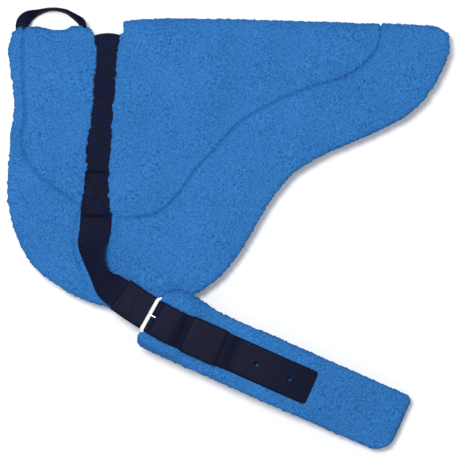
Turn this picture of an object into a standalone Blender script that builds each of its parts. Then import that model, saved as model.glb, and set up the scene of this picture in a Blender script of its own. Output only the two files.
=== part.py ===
"""Bareback pad folded on its spine and laid flat on its off side, its girth folded double beside it.

X runs from the withers to the tail, Y from the lower edge up to the spine, and Z up from the floor.
Lengths are in metres.
"""

import math

import bmesh
import bpy
from mathutils import Matrix, Vector

# Pad, measured with the two halves folded together
PAD_LENGTH = 0.725
HALF_DROP = 0.456
LINING_THICKNESS = 0.006
CORE_THICKNESS = 0.010
FLEECE_THICKNESS = 0.007
FRONT_X = -0.266
CREASE_Y = 0.157
REAR_ROLL_DEPTH = 0.023
FRONT_ROLL_DEPTH = 0.014
RIM_ROUNDING = 0.004
CROWN_HEIGHT = 0.003
CROWN_RUN = 0.080
PANEL_GRID = 0.064
SEAM_RADIUS = 0.005
SEAM_DEPTH = 0.004

# Straps
WEB_WIDTH = 0.050
WEB_THICKNESS = 0.002
WEB_FLOOR = 0.002
WEB_FOLD_DEPTH = 0.023
CHANNEL_CLEARANCE = 0.0015
LAP_LENGTH = 0.077
TUG_STRAIGHT = 0.020
BILLET_WIDTH = 0.056
BILLET_THICKNESS = 0.003
BILLET_TIP = 0.0035
BILLET_LAP = 0.030
BILLET_DESCENT = 0.020
NEAR_BILLET_REACH = 0.283
OFF_BILLET_TO_GIRTH = 0.040
HOLE_RADIUS = 0.00275
HOLE_PITCH = 0.059
HOLE_TO_TIP = 0.040
NEAR_HOLES = 2
OFF_HOLE_SHARES = (0.778, 0.450, 0.122)

# Handle
HANDLE_WIDTH = 0.020
HANDLE_THICKNESS = 0.005
HANDLE_REACH = 0.0415
HANDLE_FROM_FRONT = 0.022
HANDLE_TO_WEB = 0.0156
HANDLE_STUB = 0.0015
HANDLE_SLOT_CLEARANCE = 0.003

# Girth, folded in half with its outer face outside
GIRTH_WIDTH = 0.102
GIRTH_CORE = 0.003
GIRTH_FLEECE = 0.007
GIRTH_UPPER_LENGTH = 0.437
GIRTH_LOWER_LENGTH = 0.281
GIRTH_ROUNDING = 0.003
GIRTH_CORNER = 0.014
GIRTH_OVER_PAD = 0.0015
GIRTH_HEADING = math.radians(-24)
LAP_TO_GIRTH = 0.064
LAP_OFFSET = 0.014
OFF_END_LIFT = 0.014

# Buckles
WIRE_RADIUS = 0.0028
FRAME_WIDTH = 0.070
FRAME_LENGTH = 0.0404
FRAME_CORNER = 0.007
FRAME_PAST_END = 0.0064
TONGUE_RADIUS = 0.0016
TONGUE_CLEARANCE = 0.0005
TONGUE_PAST_BAR = 0.003
TONGUE_SLIT = 0.007
TONGUE_SLIT_REACH = 0.010
TONGUE_LOOP_START = math.radians(-190)
TONGUE_LOOP_STEPS = 11
CHAPE_WIDTH = 0.047
CHAPE_THICKNESS = 0.0025
CHAPE_TAIL = 0.125
CHAPE_KNEE = 0.017
CHAPE_WRAP_START = math.radians(68)
CHAPE_WRAP_END = math.radians(275)
CHAPE_WRAP_STEPS = 10
KEEPER_START = 0.061
KEEPER_LENGTH = 0.061
KEEPER_WALL = 0.0025
KEEPER_CLEARANCE = 0.0005
OFF_KEEPER_GAP = 0.0052
SLOT_WIDTH = 0.0045

# Clearance between touching pieces, the overrun of the cutters, and tolerances
GAP = 0.0003
OVERRUN = 0.010
MERGE_DISTANCE = 0.00003
FLAT_ANGLE = math.radians(0.1)

# Section of a rounded edge, as Blender counts it: halfway from hollow to square is round
ROUND_PROFILE_SHARE = 0.5

# Side outline of one half, from the tail to the withers, in shares of PAD_LENGTH and HALF_DROP
OUTLINE_SHARES = (
    (0.999, 0.0), (1.0, 0.050), (0.992, 0.093), (0.967, 0.179), (0.924, 0.265), (0.869, 0.323),
    (0.788, 0.381), (0.708, 0.438), (0.649, 0.496), (0.615, 0.553), (0.577, 0.640), (0.547, 0.726),
    (0.511, 0.813), (0.468, 0.888), (0.413, 0.944), (0.356, 0.986), (0.300, 1.0), (0.238, 0.986),
    (0.168, 0.951), (0.109, 0.899), (0.064, 0.842), (0.032, 0.770), (0.011, 0.683), (0.0, 0.589),
    (0.002, 0.453), (0.007, 0.352), (0.015, 0.258), (0.009, 0.165), (0.001, 0.064), (0.003, 0.0),
)

# Quilting seam round the seat, from the withers to the tail, in the same shares
SEAM_SHARES = (
    (0.036, 0.0), (0.034, 0.093), (0.037, 0.229), (0.040, 0.305), (0.032, 0.370), (0.039, 0.435),
    (0.057, 0.481), (0.104, 0.550), (0.163, 0.615), (0.202, 0.647), (0.241, 0.658), (0.288, 0.660),
    (0.338, 0.644), (0.381, 0.586), (0.422, 0.494), (0.470, 0.413), (0.522, 0.323), (0.590, 0.257),
    (0.674, 0.197), (0.760, 0.156), (0.804, 0.110), (0.833, 0.060), (0.844, 0.0),
)

# Centre line of the surcingle and of the free tug below it, in the same shares
SURCINGLE_SHARES = ((0.225, 0.0), (0.200, 0.659))
TUG_SHARES = ((0.194, 0.747), (0.195, 0.787), (0.202, 0.834), (0.216, 0.877), (0.234, 0.908),
              (0.2565, 0.933))
TUG_RISE_SHARES = (0.0, 0.0, 0.34, 0.62, 0.94, 1.0, 1.0, 1.0)
TUG_BANK_SHARES = (0.0, 0.0, 0.15, 0.50, 1.0, 0.60, 0.0, 0.0)
TUG_BANK = math.radians(30)
CHANNEL_END_SHARES = (0.195, 0.800)

# Handle, foot to foot, in shares of its span and reach, with the turn of the web from flat along
# the seam to on edge; the hinge entries are where the sewn feet end and the arch begins
HANDLE_SHARES = ((0.0, 0.145), (0.0, 0.400), (0.022, 0.540), (0.084, 0.690), (0.157, 0.790),
                 (0.273, 0.893), (0.420, 0.992), (0.554, 1.0), (0.709, 0.921), (0.810, 0.790),
                 (0.875, 0.690), (0.955, 0.550), (1.0, 0.400), (1.0, 0.145))
HANDLE_TURN_SHARES = (0.0, 0.0, 0.08, 0.42, 0.68, 0.88, 1.0, 1.0, 0.92, 0.80, 0.62, 0.22, 0.0, 0.0)
HANDLE_HINGES = (4, 9)
HANDLE_TURN = math.radians(90)

# Share of each girth half that lies level before it slopes to the fold
UPPER_LEVEL_SHARE = 0.458
LOWER_LEVEL_SHARE = 0.460

# Upward share of the normal that tells a girth layer's flat faces from its sides
FLAT_FACE_SHARE = 0.7
SIDE_FACE_SHARE = 0.3

# Height of the billet over the girth, in shares of the chape's height over the base bar
BILLET_REACH_SHARES = (0.0, 0.16, 0.30, 0.46, 0.62, 0.78, 1.0, 1.25)
BILLET_RISE_SHARES = (0.0, 0.0, 0.20, 0.62, 0.92, 1.0, 1.0, 0.90)
SLOT_SHARES = (0.30, 0.74)

# Share of the frame's length over which the tongue falls from its loop to the far bar
TONGUE_FALL_SHARE = 0.333

# Worked out from the sizes above
HALF_THICKNESS = LINING_THICKNESS + CORE_THICKNESS + FLEECE_THICKNESS
CORE_BASE = LINING_THICKNESS
FLEECE_BASE = LINING_THICKNESS + CORE_THICKNESS
WEB_BASE = FLEECE_BASE + WEB_FLOOR + GAP
WEB_TOP = WEB_BASE + WEB_THICKNESS
LAP_BASE = WEB_TOP + GAP
LAP_TOP = LAP_BASE + WEB_THICKNESS
GIRTH_THICKNESS = 2 * GIRTH_FLEECE + GIRTH_CORE
FOLD_RADIUS = GIRTH_THICKNESS + GAP
UPPER_END_Z = 2 * HALF_THICKNESS + GIRTH_OVER_PAD
BASE_BAR_HEIGHT = WIRE_RADIUS + TONGUE_CLEARANCE + 2 * TONGUE_RADIUS + 2 * GAP
FAR_BAR_HEIGHT = BILLET_THICKNESS + 2 * GAP + WIRE_RADIUS
BASE_BAR_S = FRAME_LENGTH - FRAME_PAST_END
OVER_BAR_HEIGHT = 2 * BASE_BAR_HEIGHT
CHAPE_TAIL_HEIGHT = 2 * (CHAPE_THICKNESS + GAP)
GIRTH_OFF_START = GIRTH_UPPER_LENGTH - GIRTH_LOWER_LENGTH
NOTCH_HALF_WIDTH = WEB_WIDTH / 2 + CHANNEL_CLEARANCE
HANDLE_SPAN = (SURCINGLE_SHARES[0][0] * PAD_LENGTH - NOTCH_HALF_WIDTH - HANDLE_TO_WEB
               - HANDLE_FROM_FRONT)
OFF_BILLET_LENGTH = LAP_TO_GIRTH + GIRTH_OFF_START - OFF_BILLET_TO_GIRTH
NEAR_KEEPER_GAP = BILLET_THICKNESS + 3 * GAP

FLEECE_BLUE = (0.045, 0.222, 0.610)
FELT_GREY = (0.32, 0.33, 0.35)
WEB_NAVY = (0.011, 0.008, 0.028)
STRAP_NAVY = (0.014, 0.017, 0.042)
CHROME = (0.80, 0.81, 0.83)

MESH_TO_YZ = Matrix(((0, 0, 1, 0), (1, 0, 0, 0), (0, 1, 0, 0), (0, 0, 0, 1)))
MESH_TO_XZ = Matrix.Rotation(math.pi / 2, 4, "X")


def clear_scene():
    """Remove every object of the scene that the script starts in."""
    for item in list(bpy.data.objects):
        bpy.data.objects.remove(item)


def new_collection(name):
    """Make a collection in the scene."""
    collection = bpy.data.collections.new(name)
    bpy.context.scene.collection.children.link(collection)
    return collection


def material(name, colour, roughness, metallic=0.0):
    """Make a Principled material."""
    result = bpy.data.materials.new(name)
    result.use_nodes = True
    shader = result.node_tree.nodes["Principled BSDF"]
    shader.inputs["Base Color"].default_value = (*colour, 1.0)
    shader.inputs["Roughness"].default_value = roughness
    shader.inputs["Metallic"].default_value = metallic
    return result


def smoothstep(value):
    """Ease from 0 to 1 as value goes from 0 to 1."""
    value = min(max(value, 0.0), 1.0)
    return value * value * (3.0 - 2.0 * value)


def smooth_points(points, steps):
    """Points on a Catmull-Rom curve through the given points, the first and the last included."""
    points = [Vector(point) for point in points]
    ends = [2 * points[0] - points[1], *points, 2 * points[-1] - points[-2]]
    result = []
    for before, start, end, after in zip(ends, ends[1:], ends[2:], ends[3:]):
        for step in range(steps):
            t = step / steps
            result.append(0.5 * (2 * start + (end - before) * t
                                 + (2 * before - 5 * start + 4 * end - after) * t ** 2
                                 + (3 * start - before - 3 * end + after) * t ** 3))
    result.append(points[-1])
    return result


def smooth_values(values, steps):
    """Values eased between the given ones, in step with smooth_points."""
    return [point.x for point in smooth_points([(value, 0.0) for value in values], steps)]


def pad_point(share):
    """The point of the pad's plan at a share of its length and drop."""
    return Vector((FRONT_X + share[0] * PAD_LENGTH, CREASE_Y - share[1] * HALF_DROP))


def new_curve(name, splines, closed, dimensions):
    """Make a curve object of straight-sided splines."""
    curve = bpy.data.curves.new(name, "CURVE")
    curve.dimensions = dimensions
    for points in splines:
        spline = curve.splines.new("POLY")
        spline.points.add(len(points) - 1)
        for target, point in zip(spline.points, points):
            target.co = (*point, *(0.0,) * (3 - len(point)), 1.0)
        spline.use_cyclic_u = closed
    item = bpy.data.objects.new(name, curve)
    GUIDES.objects.link(item)
    return item


def curve_to_mesh(item, matrix=Matrix.Identity(4)):
    """Turn a curve object into a closed mesh in the place that the matrix gives, and remove it."""
    bpy.context.view_layer.update()
    evaluated = item.evaluated_get(bpy.context.evaluated_depsgraph_get())
    mesh = bpy.data.meshes.new_from_object(evaluated)
    bm = bmesh.new()
    bm.from_mesh(mesh)
    bmesh.ops.remove_doubles(bm, verts=bm.verts, dist=MERGE_DISTANCE)
    bmesh.ops.transform(bm, matrix=matrix, verts=bm.verts)
    bmesh.ops.recalc_face_normals(bm, faces=bm.faces)
    bm.to_mesh(mesh)
    bm.free()
    mesh.materials.clear()
    bpy.data.objects.remove(item)
    return mesh


def extrude_outline(name, splines, depth, matrix=Matrix.Identity(4)):
    """Mesh of flat closed outlines, extruded by half the depth to each side of their plane."""
    item = new_curve(name, splines, True, "2D")
    item.data.fill_mode = "BOTH"
    item.data.extrude = depth / 2
    return curve_to_mesh(item, matrix)


def strap_mesh(name, points, width, thickness, turns=None):
    """Mesh of a flat strap whose middle follows the points, turned about its run by the turns."""
    half_width = width / 2
    half_thickness = thickness / 2
    corners = ((-half_width, -half_thickness), (half_width, -half_thickness),
               (half_width, half_thickness), (-half_width, half_thickness))
    profile = new_curve(name + "_profile", (corners,), True, "2D")
    item = new_curve(name, (points,), False, "3D")
    item.data.twist_mode = "Z_UP"
    item.data.bevel_mode = "OBJECT"
    item.data.bevel_object = profile
    item.data.use_fill_caps = True
    for target, turn in zip(item.data.splines[0].points, turns or ()):
        target.tilt = turn
    mesh = curve_to_mesh(item)
    bpy.data.objects.remove(profile)
    return mesh


def wire_mesh(name, points, radius, closed=False):
    """Mesh of a round wire whose middle follows the points."""
    item = new_curve(name, (points,), closed, "3D")
    item.data.bevel_depth = radius
    item.data.bevel_resolution = 2
    item.data.use_fill_caps = not closed
    return curve_to_mesh(item)


def box_mesh(name, low, high):
    """Mesh of a box between two corners."""
    bm = bmesh.new()
    bmesh.ops.create_cube(bm, size=1.0)
    low = Vector(low)
    high = Vector(high)
    bmesh.ops.scale(bm, vec=high - low, verts=bm.verts)
    bmesh.ops.translate(bm, vec=(low + high) / 2, verts=bm.verts)
    mesh = bpy.data.meshes.new(name)
    bm.to_mesh(mesh)
    bm.free()
    return mesh


def add_piece(name, mesh, finish, axis=None, matrix=Matrix.Identity(4)):
    """Add a sub-part to the pad, carried by the empty on its joint's axis if it moves."""
    item = bpy.data.objects.new(name, mesh)
    PARTS.objects.link(item)
    item.matrix_world = matrix
    mesh.materials.append(finish)
    if axis:
        item.parent = axis
        item.matrix_parent_inverse = axis.matrix_world.inverted()
    return item


def add_axis(name, location, heading=0.0, parent=None):
    """Add an empty on a joint's axis."""
    item = bpy.data.objects.new(name, None)
    PARTS.objects.link(item)
    item.empty_display_size = LAP_LENGTH
    item.matrix_world = Matrix.Translation(location) @ Matrix.Rotation(heading, 4, "Z")
    if parent:
        item.parent = parent
        item.matrix_parent_inverse = parent.matrix_world.inverted()
    bpy.context.view_layer.update()
    return item


def cut(item, mesh, matrix=Matrix.Identity(4)):
    """Cut a piece with a cutter mesh given in the piece's own space."""
    cutter = bpy.data.objects.new(mesh.name + "_cutter", mesh)
    CUTTERS.objects.link(cutter)
    cutter.matrix_world = item.matrix_world @ matrix
    cutter.hide_render = True
    cutter.display_type = "WIRE"
    boolean = item.modifiers.new(mesh.name, "BOOLEAN")
    boolean.operation = "DIFFERENCE"
    boolean.solver = "EXACT"
    boolean.object = cutter


def apply_modifiers(item):
    """Give a piece the mesh that its modifiers make."""
    bpy.context.view_layer.update()
    evaluated = item.evaluated_get(bpy.context.evaluated_depsgraph_get())
    mesh = bpy.data.meshes.new_from_object(evaluated)
    item.modifiers.clear()
    item.data = mesh


def half_outline():
    """Plan of one half of the pad, closed along the crease."""
    points = smooth_points([pad_point(share) for share in OUTLINE_SHARES], 2)
    top = CREASE_Y - GAP / 2
    return [Vector((point.x, min(point.y, top))) for point in points]


def notch_reach(height):
    """How far up the pad a layer of this height reaches inside the folded surcingle."""
    depth = WEB_FOLD_DEPTH - WEB_THICKNESS
    inside = max(1.0 - (height / WEB_BASE) ** 2, 0.0)
    return CREASE_Y - WEB_FOLD_DEPTH + depth * math.sqrt(inside) - GAP


def notch_cutter(name, height):
    """Box that opens the crease edge of a layer for the folded surcingle."""
    middle = pad_point(SURCINGLE_SHARES[0]).x
    return box_mesh(name, (middle - NOTCH_HALF_WIDTH, notch_reach(height), -OVERRUN),
                    (middle + NOTCH_HALF_WIDTH, CREASE_Y + OVERRUN, HALF_THICKNESS + OVERRUN))


def flat_layer(name, base, top):
    """Mesh of a flat layer of one half between two heights over the crease plane."""
    mesh = extrude_outline(name, (half_outline(),), top - base)
    mesh.transform(Matrix.Translation((0.0, 0.0, (base + top) / 2)))
    return mesh


def round_rim(mesh):
    """Draw in the outer rim of a cover, all along its edge but not along the crease."""
    bm = bmesh.new()
    bm.from_mesh(mesh)
    top = max(vert.co.z for vert in bm.verts)
    crease = CREASE_Y - GAP
    rim = [edge for edge in bm.edges
           if all(abs(vert.co.z - top) < GAP for vert in edge.verts)
           and not all(vert.co.y > crease for vert in edge.verts)
           and edge.calc_face_angle(0.0) > math.pi / 4]
    bmesh.ops.bevel(bm, geom=rim, offset=RIM_ROUNDING, offset_type="OFFSET", segments=2,
                    profile=ROUND_PROFILE_SHARE, affect="EDGES", clamp_overlap=True)
    bm.to_mesh(mesh)
    bm.free()


def slice_panels(mesh):
    """Divide a cover by an even grid, so that its crown can swell."""
    bm = bmesh.new()
    bm.from_mesh(mesh)
    columns = int(PAD_LENGTH / PANEL_GRID)
    rows = int(HALF_DROP / PANEL_GRID)
    planes = [(Vector((FRONT_X + index * PANEL_GRID, 0.0, 0.0)), Vector((1, 0, 0)))
              for index in range(1, columns + 1)]
    planes += [(Vector((0.0, CREASE_Y - index * PANEL_GRID, 0.0)), Vector((0, 1, 0)))
               for index in range(1, rows + 1)]
    middle = FLEECE_BASE + FLEECE_THICKNESS / 2
    for place, normal in planes:
        faces = [face for face in bm.faces if all(vert.co.z > middle for vert in face.verts)]
        edges = {edge for face in faces for edge in face.edges}
        verts = {vert for face in faces for vert in face.verts}
        bmesh.ops.bisect_plane(bm, geom=[*verts, *edges, *faces], dist=MERGE_DISTANCE, plane_co=place,
                               plane_no=normal)
    bm.to_mesh(mesh)
    bm.free()


def distance_to_path(point, path):
    """Distance in plan from a point to a path."""
    nearest = math.inf
    for start, end in zip(path, path[1:]):
        run = end - start
        share = min(max((point - start).dot(run) / run.length_squared, 0.0), 1.0)
        nearest = min(nearest, (start + share * run - point).length)
    return nearest


def swell_crown(mesh, limit):
    """Raise the panels between the seams, edges and straps, up to a limit of height."""
    outline = half_outline()
    seam = seam_line()
    strap = [pad_point(share) for share in (*SURCINGLE_SHARES, CHANNEL_END_SHARES)]
    for vert in mesh.vertices:
        if vert.co.z < FLEECE_BASE + FLEECE_THICKNESS / 2:
            continue
        place = vert.co.to_2d()
        reach = min(distance_to_path(place, outline), distance_to_path(place, seam),
                    distance_to_path(place, strap) - NOTCH_HALF_WIDTH, CREASE_Y - place.y)
        swell = CROWN_HEIGHT * smoothstep(reach / CROWN_RUN)
        vert.co.z = min(vert.co.z + swell, limit)


def seam_line():
    """Plan of the quilting seam of one half."""
    return [pad_point(share) for share in SEAM_SHARES]


def seam_cutter():
    """Round cutter along the quilting seam of one half."""
    points = seam_line()
    points[0].y += OVERRUN
    points[-1].y += OVERRUN
    height = HALF_THICKNESS + SEAM_RADIUS - SEAM_DEPTH
    return wire_mesh("seam", [(point.x, point.y, height) for point in points], SEAM_RADIUS)


def web_channel_cutter(name, shares, base, width):
    """Flat cutter along a strap's run, from a height over the crease plane and past the fleece."""
    points = [pad_point(share) for share in shares]
    points[0] += (points[0] - points[1]).normalized() * OVERRUN
    points[-1] += (points[-1] - points[-2]).normalized() * OVERRUN
    top = HALF_THICKNESS + OVERRUN
    middle = (base + top) / 2
    return strap_mesh(name, [(point.x, point.y, middle) for point in points], width, top - base)


def half_matrix(side):
    """Place of a half whose heights are counted from the crease plane, outwards."""
    flip = 1.0 if side == "near" else -1.0
    return Matrix.Translation((0.0, 0.0, HALF_THICKNESS)) @ Matrix.Scale(flip, 4, (0, 0, 1))


def place_half(item, side):
    """Give a piece its side's place, with its faces pointing out on both sides."""
    apply_modifiers(item)
    item.data.transform(half_matrix(side))
    if side == "off":
        item.data.flip_normals()


def build_half(side, axis):
    """Build the lining, core, cover and surcingle of one half of the pad."""
    lining = add_piece(side + "_lining", flat_layer("lining", GAP / 2, LINING_THICKNESS), FINISH["lining"],
                       axis)
    cut(lining, notch_cutter("lining_notch", LINING_THICKNESS))
    place_half(lining, side)
    core = add_piece(side + "_core", flat_layer("core", CORE_BASE + GAP, FLEECE_BASE), FINISH["core"], axis)
    cut(core, notch_cutter("core_notch", FLEECE_BASE))
    place_half(core, side)
    cover_mesh = flat_layer("cover", FLEECE_BASE + GAP, HALF_THICKNESS)
    round_rim(cover_mesh)
    cover = add_piece(side + "_fleece_cover", cover_mesh, FINISH["fleece"], axis)
    cut(cover, notch_cutter("cover_notch", WEB_BASE))
    cut(cover, seam_cutter())
    cut(cover, web_channel_cutter("web_channel", (*SURCINGLE_SHARES, CHANNEL_END_SHARES),
                                  WEB_BASE - GAP, 2 * NOTCH_HALF_WIDTH))
    limit = HALF_THICKNESS + CROWN_HEIGHT
    if side == "off":
        limit = HALF_THICKNESS
        for mesh in off_strap_cutters():
            cut(cover, mesh)
    apply_modifiers(cover)
    slice_panels(cover.data)
    swell_crown(cover.data, limit)
    place_half(cover, side)
    web_mesh = surcingle_mesh("surcingle", WEB_BASE, surcingle_length(), square_to_fold=True)
    web = add_piece(side + "_surcingle_web", web_mesh, FINISH["web"], axis)
    place_half(web, side)
    lap = add_piece(side + "_tug_lap", surcingle_mesh("tug_lap", LAP_BASE, LAP_LENGTH), FINISH["web"], axis)
    place_half(lap, side)


def surcingle_line():
    """The ends of the surcingle's straight run in plan, from the fold to the stitch line."""
    top = pad_point(SURCINGLE_SHARES[0])
    top.y -= WEB_FOLD_DEPTH + GAP
    return top, pad_point(SURCINGLE_SHARES[1])


def surcingle_length():
    """Length of the surcingle's straight run."""
    top, bottom = surcingle_line()
    return (bottom - top).length


def surcingle_mesh(name, base, length, square_to_fold=False):
    """Mesh of a web of some length over the surcingle's run, ending at the stitch line."""
    top, bottom = surcingle_line()
    run = (bottom - top).normalized()
    side = Vector((-run.y, run.x)) * WEB_WIDTH / 2
    slant = run * (side.y / run.y) if square_to_fold else Vector((0.0, 0.0))
    start = bottom - run * length
    outline = (start - side + slant, bottom - side, bottom + side, start + side - slant)
    place = Matrix.Translation((0.0, 0.0, base + WEB_THICKNESS / 2))
    return extrude_outline(name, (outline,), WEB_THICKNESS, place)


def half_ring(centre, outer, inner, steps=8):
    """Outline of half an oval ring that opens towards minus X, from given radii along X and Y."""
    angles = [math.pi * (step / steps - 0.5) for step in range(steps + 1)]
    rim = [Vector((centre[0] + outer[0] * math.cos(angle), centre[1] + outer[1] * math.sin(angle)))
           for angle in angles]
    if not inner[1]:
        return rim
    bore = [Vector((centre[0] + inner[0] * math.cos(angle), centre[1] + inner[1] * math.sin(angle)))
            for angle in reversed(angles)]
    return rim + bore


def spine_roll(name, start, end, depth, base, top):
    """Mesh of a layer that turns round the crease, between two heights over the crease plane."""
    share = depth / HALF_THICKNESS
    outline = half_ring((CREASE_Y + GAP / 2, HALF_THICKNESS), (top * share, top), (base * share, base))
    return extrude_outline(name, (outline,), end - start,
                           Matrix.Translation(((start + end) / 2, 0.0, 0.0)) @ MESH_TO_YZ)


def roll_seam_cutter(name, place, depth):
    """Round cutter that takes the quilting seam over the folded spine."""
    share = depth / HALF_THICKNESS
    radius = HALF_THICKNESS + SEAM_RADIUS - SEAM_DEPTH
    ring = half_ring((CREASE_Y, HALF_THICKNESS), (radius * share, radius), (0.0, 0.0))
    points = [(place, point.x, point.y) for point in ring]
    points.insert(0, (place, CREASE_Y - OVERRUN, HALF_THICKNESS - radius))
    points.append((place, CREASE_Y - OVERRUN, HALF_THICKNESS + radius))
    return wire_mesh(name, points, SEAM_RADIUS)


def handle_path():
    """Middle of the handle's web and its turns, from one sewn end over the arch to the other."""
    droop = HALF_THICKNESS - HANDLE_WIDTH / 2 - GAP
    sewn = HANDLE_SHARES[1][1]
    points = []
    for along, out in HANDLE_SHARES:
        fall = droop * max(out - sewn, 0.0) / (1.0 - sewn)
        points.append((FRONT_X + HANDLE_FROM_FRONT + along * HANDLE_SPAN, CREASE_Y + out * HANDLE_REACH,
                       HALF_THICKNESS - fall))
    return smooth_points(points, 2), [HANDLE_TURN * share for share in smooth_values(HANDLE_TURN_SHARES, 2)]


def handle_slots():
    """Cutters that let the handle's sewn ends into the spine."""
    half = HANDLE_WIDTH / 2 + HANDLE_SLOT_CLEARANCE
    rise = HANDLE_THICKNESS / 2 + HANDLE_SLOT_CLEARANCE
    slots = []
    for along, out in (HANDLE_SHARES[0], HANDLE_SHARES[-1]):
        middle = FRONT_X + HANDLE_FROM_FRONT + along * HANDLE_SPAN
        low = CREASE_Y + out * HANDLE_REACH - HANDLE_SLOT_CLEARANCE
        slots.append(box_mesh("handle_slot", (middle - half, low, HALF_THICKNESS - rise),
                              (middle + half, CREASE_Y + HALF_THICKNESS, HALF_THICKNESS + rise)))
    return slots


def build_handle(spine_axis, handle_axis):
    """Build the handle of doubled web: two sewn feet, and the arch that lies drooped to the floor."""
    points, turns = handle_path()
    front, rear = (2 * index for index in HANDLE_HINGES)
    front_run = (points[front + 1] - points[front - 1]).normalized()
    rear_run = (points[rear + 1] - points[rear - 1]).normalized()
    runs = {
        "handle_foot_front": ((None, None), (points[front], front_run), 0, front, spine_axis),
        "handle_web": ((points[front], front_run), (points[rear], rear_run), front, rear, handle_axis),
        "handle_foot_rear": ((points[rear], rear_run), (None, None), rear, len(points) - 1, spine_axis),
    }
    for name, ((first, first_run), (last, last_run), start, end, axis) in runs.items():
        path = points[start:end + 1]
        path_turns = turns[start:end + 1]
        if first:
            path[0:1] = [first + first_run * GAP / 2, first + first_run * HANDLE_STUB]
            path_turns.insert(0, path_turns[0])
        if last:
            path[-1:] = [last - last_run * HANDLE_STUB, last - last_run * GAP / 2]
            path_turns.append(path_turns[-1])
        mesh = strap_mesh(name, path, HANDLE_WIDTH, HANDLE_THICKNESS, path_turns)
        add_piece(name, mesh, FINISH["web"], axis)


def build_spine(axis):
    """Build the layers that turn over the spine, each in a front and a rear length."""
    web_middle = pad_point(SURCINGLE_SHARES[0]).x
    spans = {
        "front": (FRONT_X + RIM_ROUNDING, web_middle - NOTCH_HALF_WIDTH, FRONT_ROLL_DEPTH, SEAM_SHARES[0]),
        "rear": (web_middle + NOTCH_HALF_WIDTH, FRONT_X + PAD_LENGTH - RIM_ROUNDING, REAR_ROLL_DEPTH,
                 SEAM_SHARES[-1]),
    }
    for label, (start, end, depth, seam_share) in spans.items():
        lining = spine_roll("lining", start, end, depth, 0.0, LINING_THICKNESS)
        add_piece("spine_lining_" + label, lining, FINISH["lining"], axis)
        core = add_piece("spine_core_" + label,
                         spine_roll("core", start, end, depth, CORE_BASE + GAP, FLEECE_BASE),
                         FINISH["core"], axis)
        fleece = add_piece("spine_fleece_" + label,
                           spine_roll("fleece", start, end, depth, FLEECE_BASE + GAP, HALF_THICKNESS),
                           FINISH["fleece"], axis)
        cut(fleece, roll_seam_cutter("roll_seam", pad_point(seam_share).x, depth))
        if label == "front":
            for slot in handle_slots():
                cut(fleece, slot)
                cut(core, slot.copy())
    centre = (CREASE_Y - WEB_FOLD_DEPTH, HALF_THICKNESS)
    inner_depth = WEB_FOLD_DEPTH - WEB_THICKNESS
    outline = half_ring(centre, (WEB_FOLD_DEPTH, WEB_TOP), (inner_depth, WEB_BASE), steps=12)
    fold = extrude_outline("fold", (outline,), WEB_WIDTH,
                           Matrix.Translation((web_middle, 0.0, 0.0)) @ MESH_TO_YZ)
    add_piece("surcingle_fold_web", fold, FINISH["web"], axis)


def girth_matrix():
    """Place of the girth: its origin on the floor under the middle of its near end, X along it."""
    lap = pad_point(TUG_SHARES[-1])
    turn = Matrix.Rotation(GIRTH_HEADING, 4, "Z")
    return Matrix.Translation((lap.x, lap.y, 0.0)) @ turn @ Matrix.Translation(
        (LAP_TO_GIRTH, -LAP_OFFSET, 0.0))


def upper_base(reach):
    """Height of the upper half's horse side at a distance from the near end."""
    level = UPPER_LEVEL_SHARE * GIRTH_UPPER_LENGTH
    share = smoothstep((reach - level) / (GIRTH_UPPER_LENGTH - level))
    low = FOLD_RADIUS + GAP
    return UPPER_END_Z + (low - UPPER_END_Z) * share


def lower_base(reach):
    """Height of the lower half's outer face at a distance from the near end."""
    level = GIRTH_OFF_START + LOWER_LEVEL_SHARE * GIRTH_LOWER_LENGTH
    share = smoothstep((reach - level) / (GIRTH_UPPER_LENGTH - level))
    return OFF_END_LIFT * (1.0 - share)


def band_mesh(name, start, base_height, low, high, steps=10):
    """Mesh of one layer of a girth half, between two heights over the half's lower face."""
    end = GIRTH_UPPER_LENGTH - GAP
    reaches = [start + (end - start) * step / steps for step in range(steps + 1)]
    lower = [(reach, base_height(reach) + low) for reach in reaches]
    upper = [(reach, base_height(reach) + high) for reach in reversed(reaches)]
    return extrude_outline(name, (lower + upper,), GIRTH_WIDTH, MESH_TO_XZ)


def round_band(item, start, outer_sign):
    """Round the corners of a girth half's free end in plan, and draw in its long edges."""
    bm = bmesh.new()
    bm.from_mesh(item.data)
    bmesh.ops.dissolve_limit(bm, angle_limit=FLAT_ANGLE, verts=bm.verts, edges=bm.edges)
    corners = [edge for edge in bm.edges if all(abs(vert.co.x - start) < GAP for vert in edge.verts)
               and abs(edge.verts[0].co.y - edge.verts[1].co.y) < GAP]
    bmesh.ops.bevel(bm, geom=corners, offset=GIRTH_CORNER, offset_type="OFFSET", segments=3,
                    profile=ROUND_PROFILE_SHARE, affect="EDGES", clamp_overlap=True)
    if outer_sign:
        bm.normal_update()
        rim = []
        for edge in bm.edges:
            faces = edge.link_faces
            flat = [face for face in faces if face.normal.z * outer_sign > FLAT_FACE_SHARE]
            side = [face for face in faces if abs(face.normal.z) < SIDE_FACE_SHARE
                    and not all(vert.co.x > GIRTH_UPPER_LENGTH - 2 * GAP for vert in face.verts)]
            if flat and side:
                rim.append(edge)
        bmesh.ops.bevel(bm, geom=rim, offset=GIRTH_ROUNDING, offset_type="OFFSET", segments=2,
                        profile=ROUND_PROFILE_SHARE, affect="EDGES", clamp_overlap=True)
    bm.to_mesh(item.data)
    bm.free()


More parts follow.
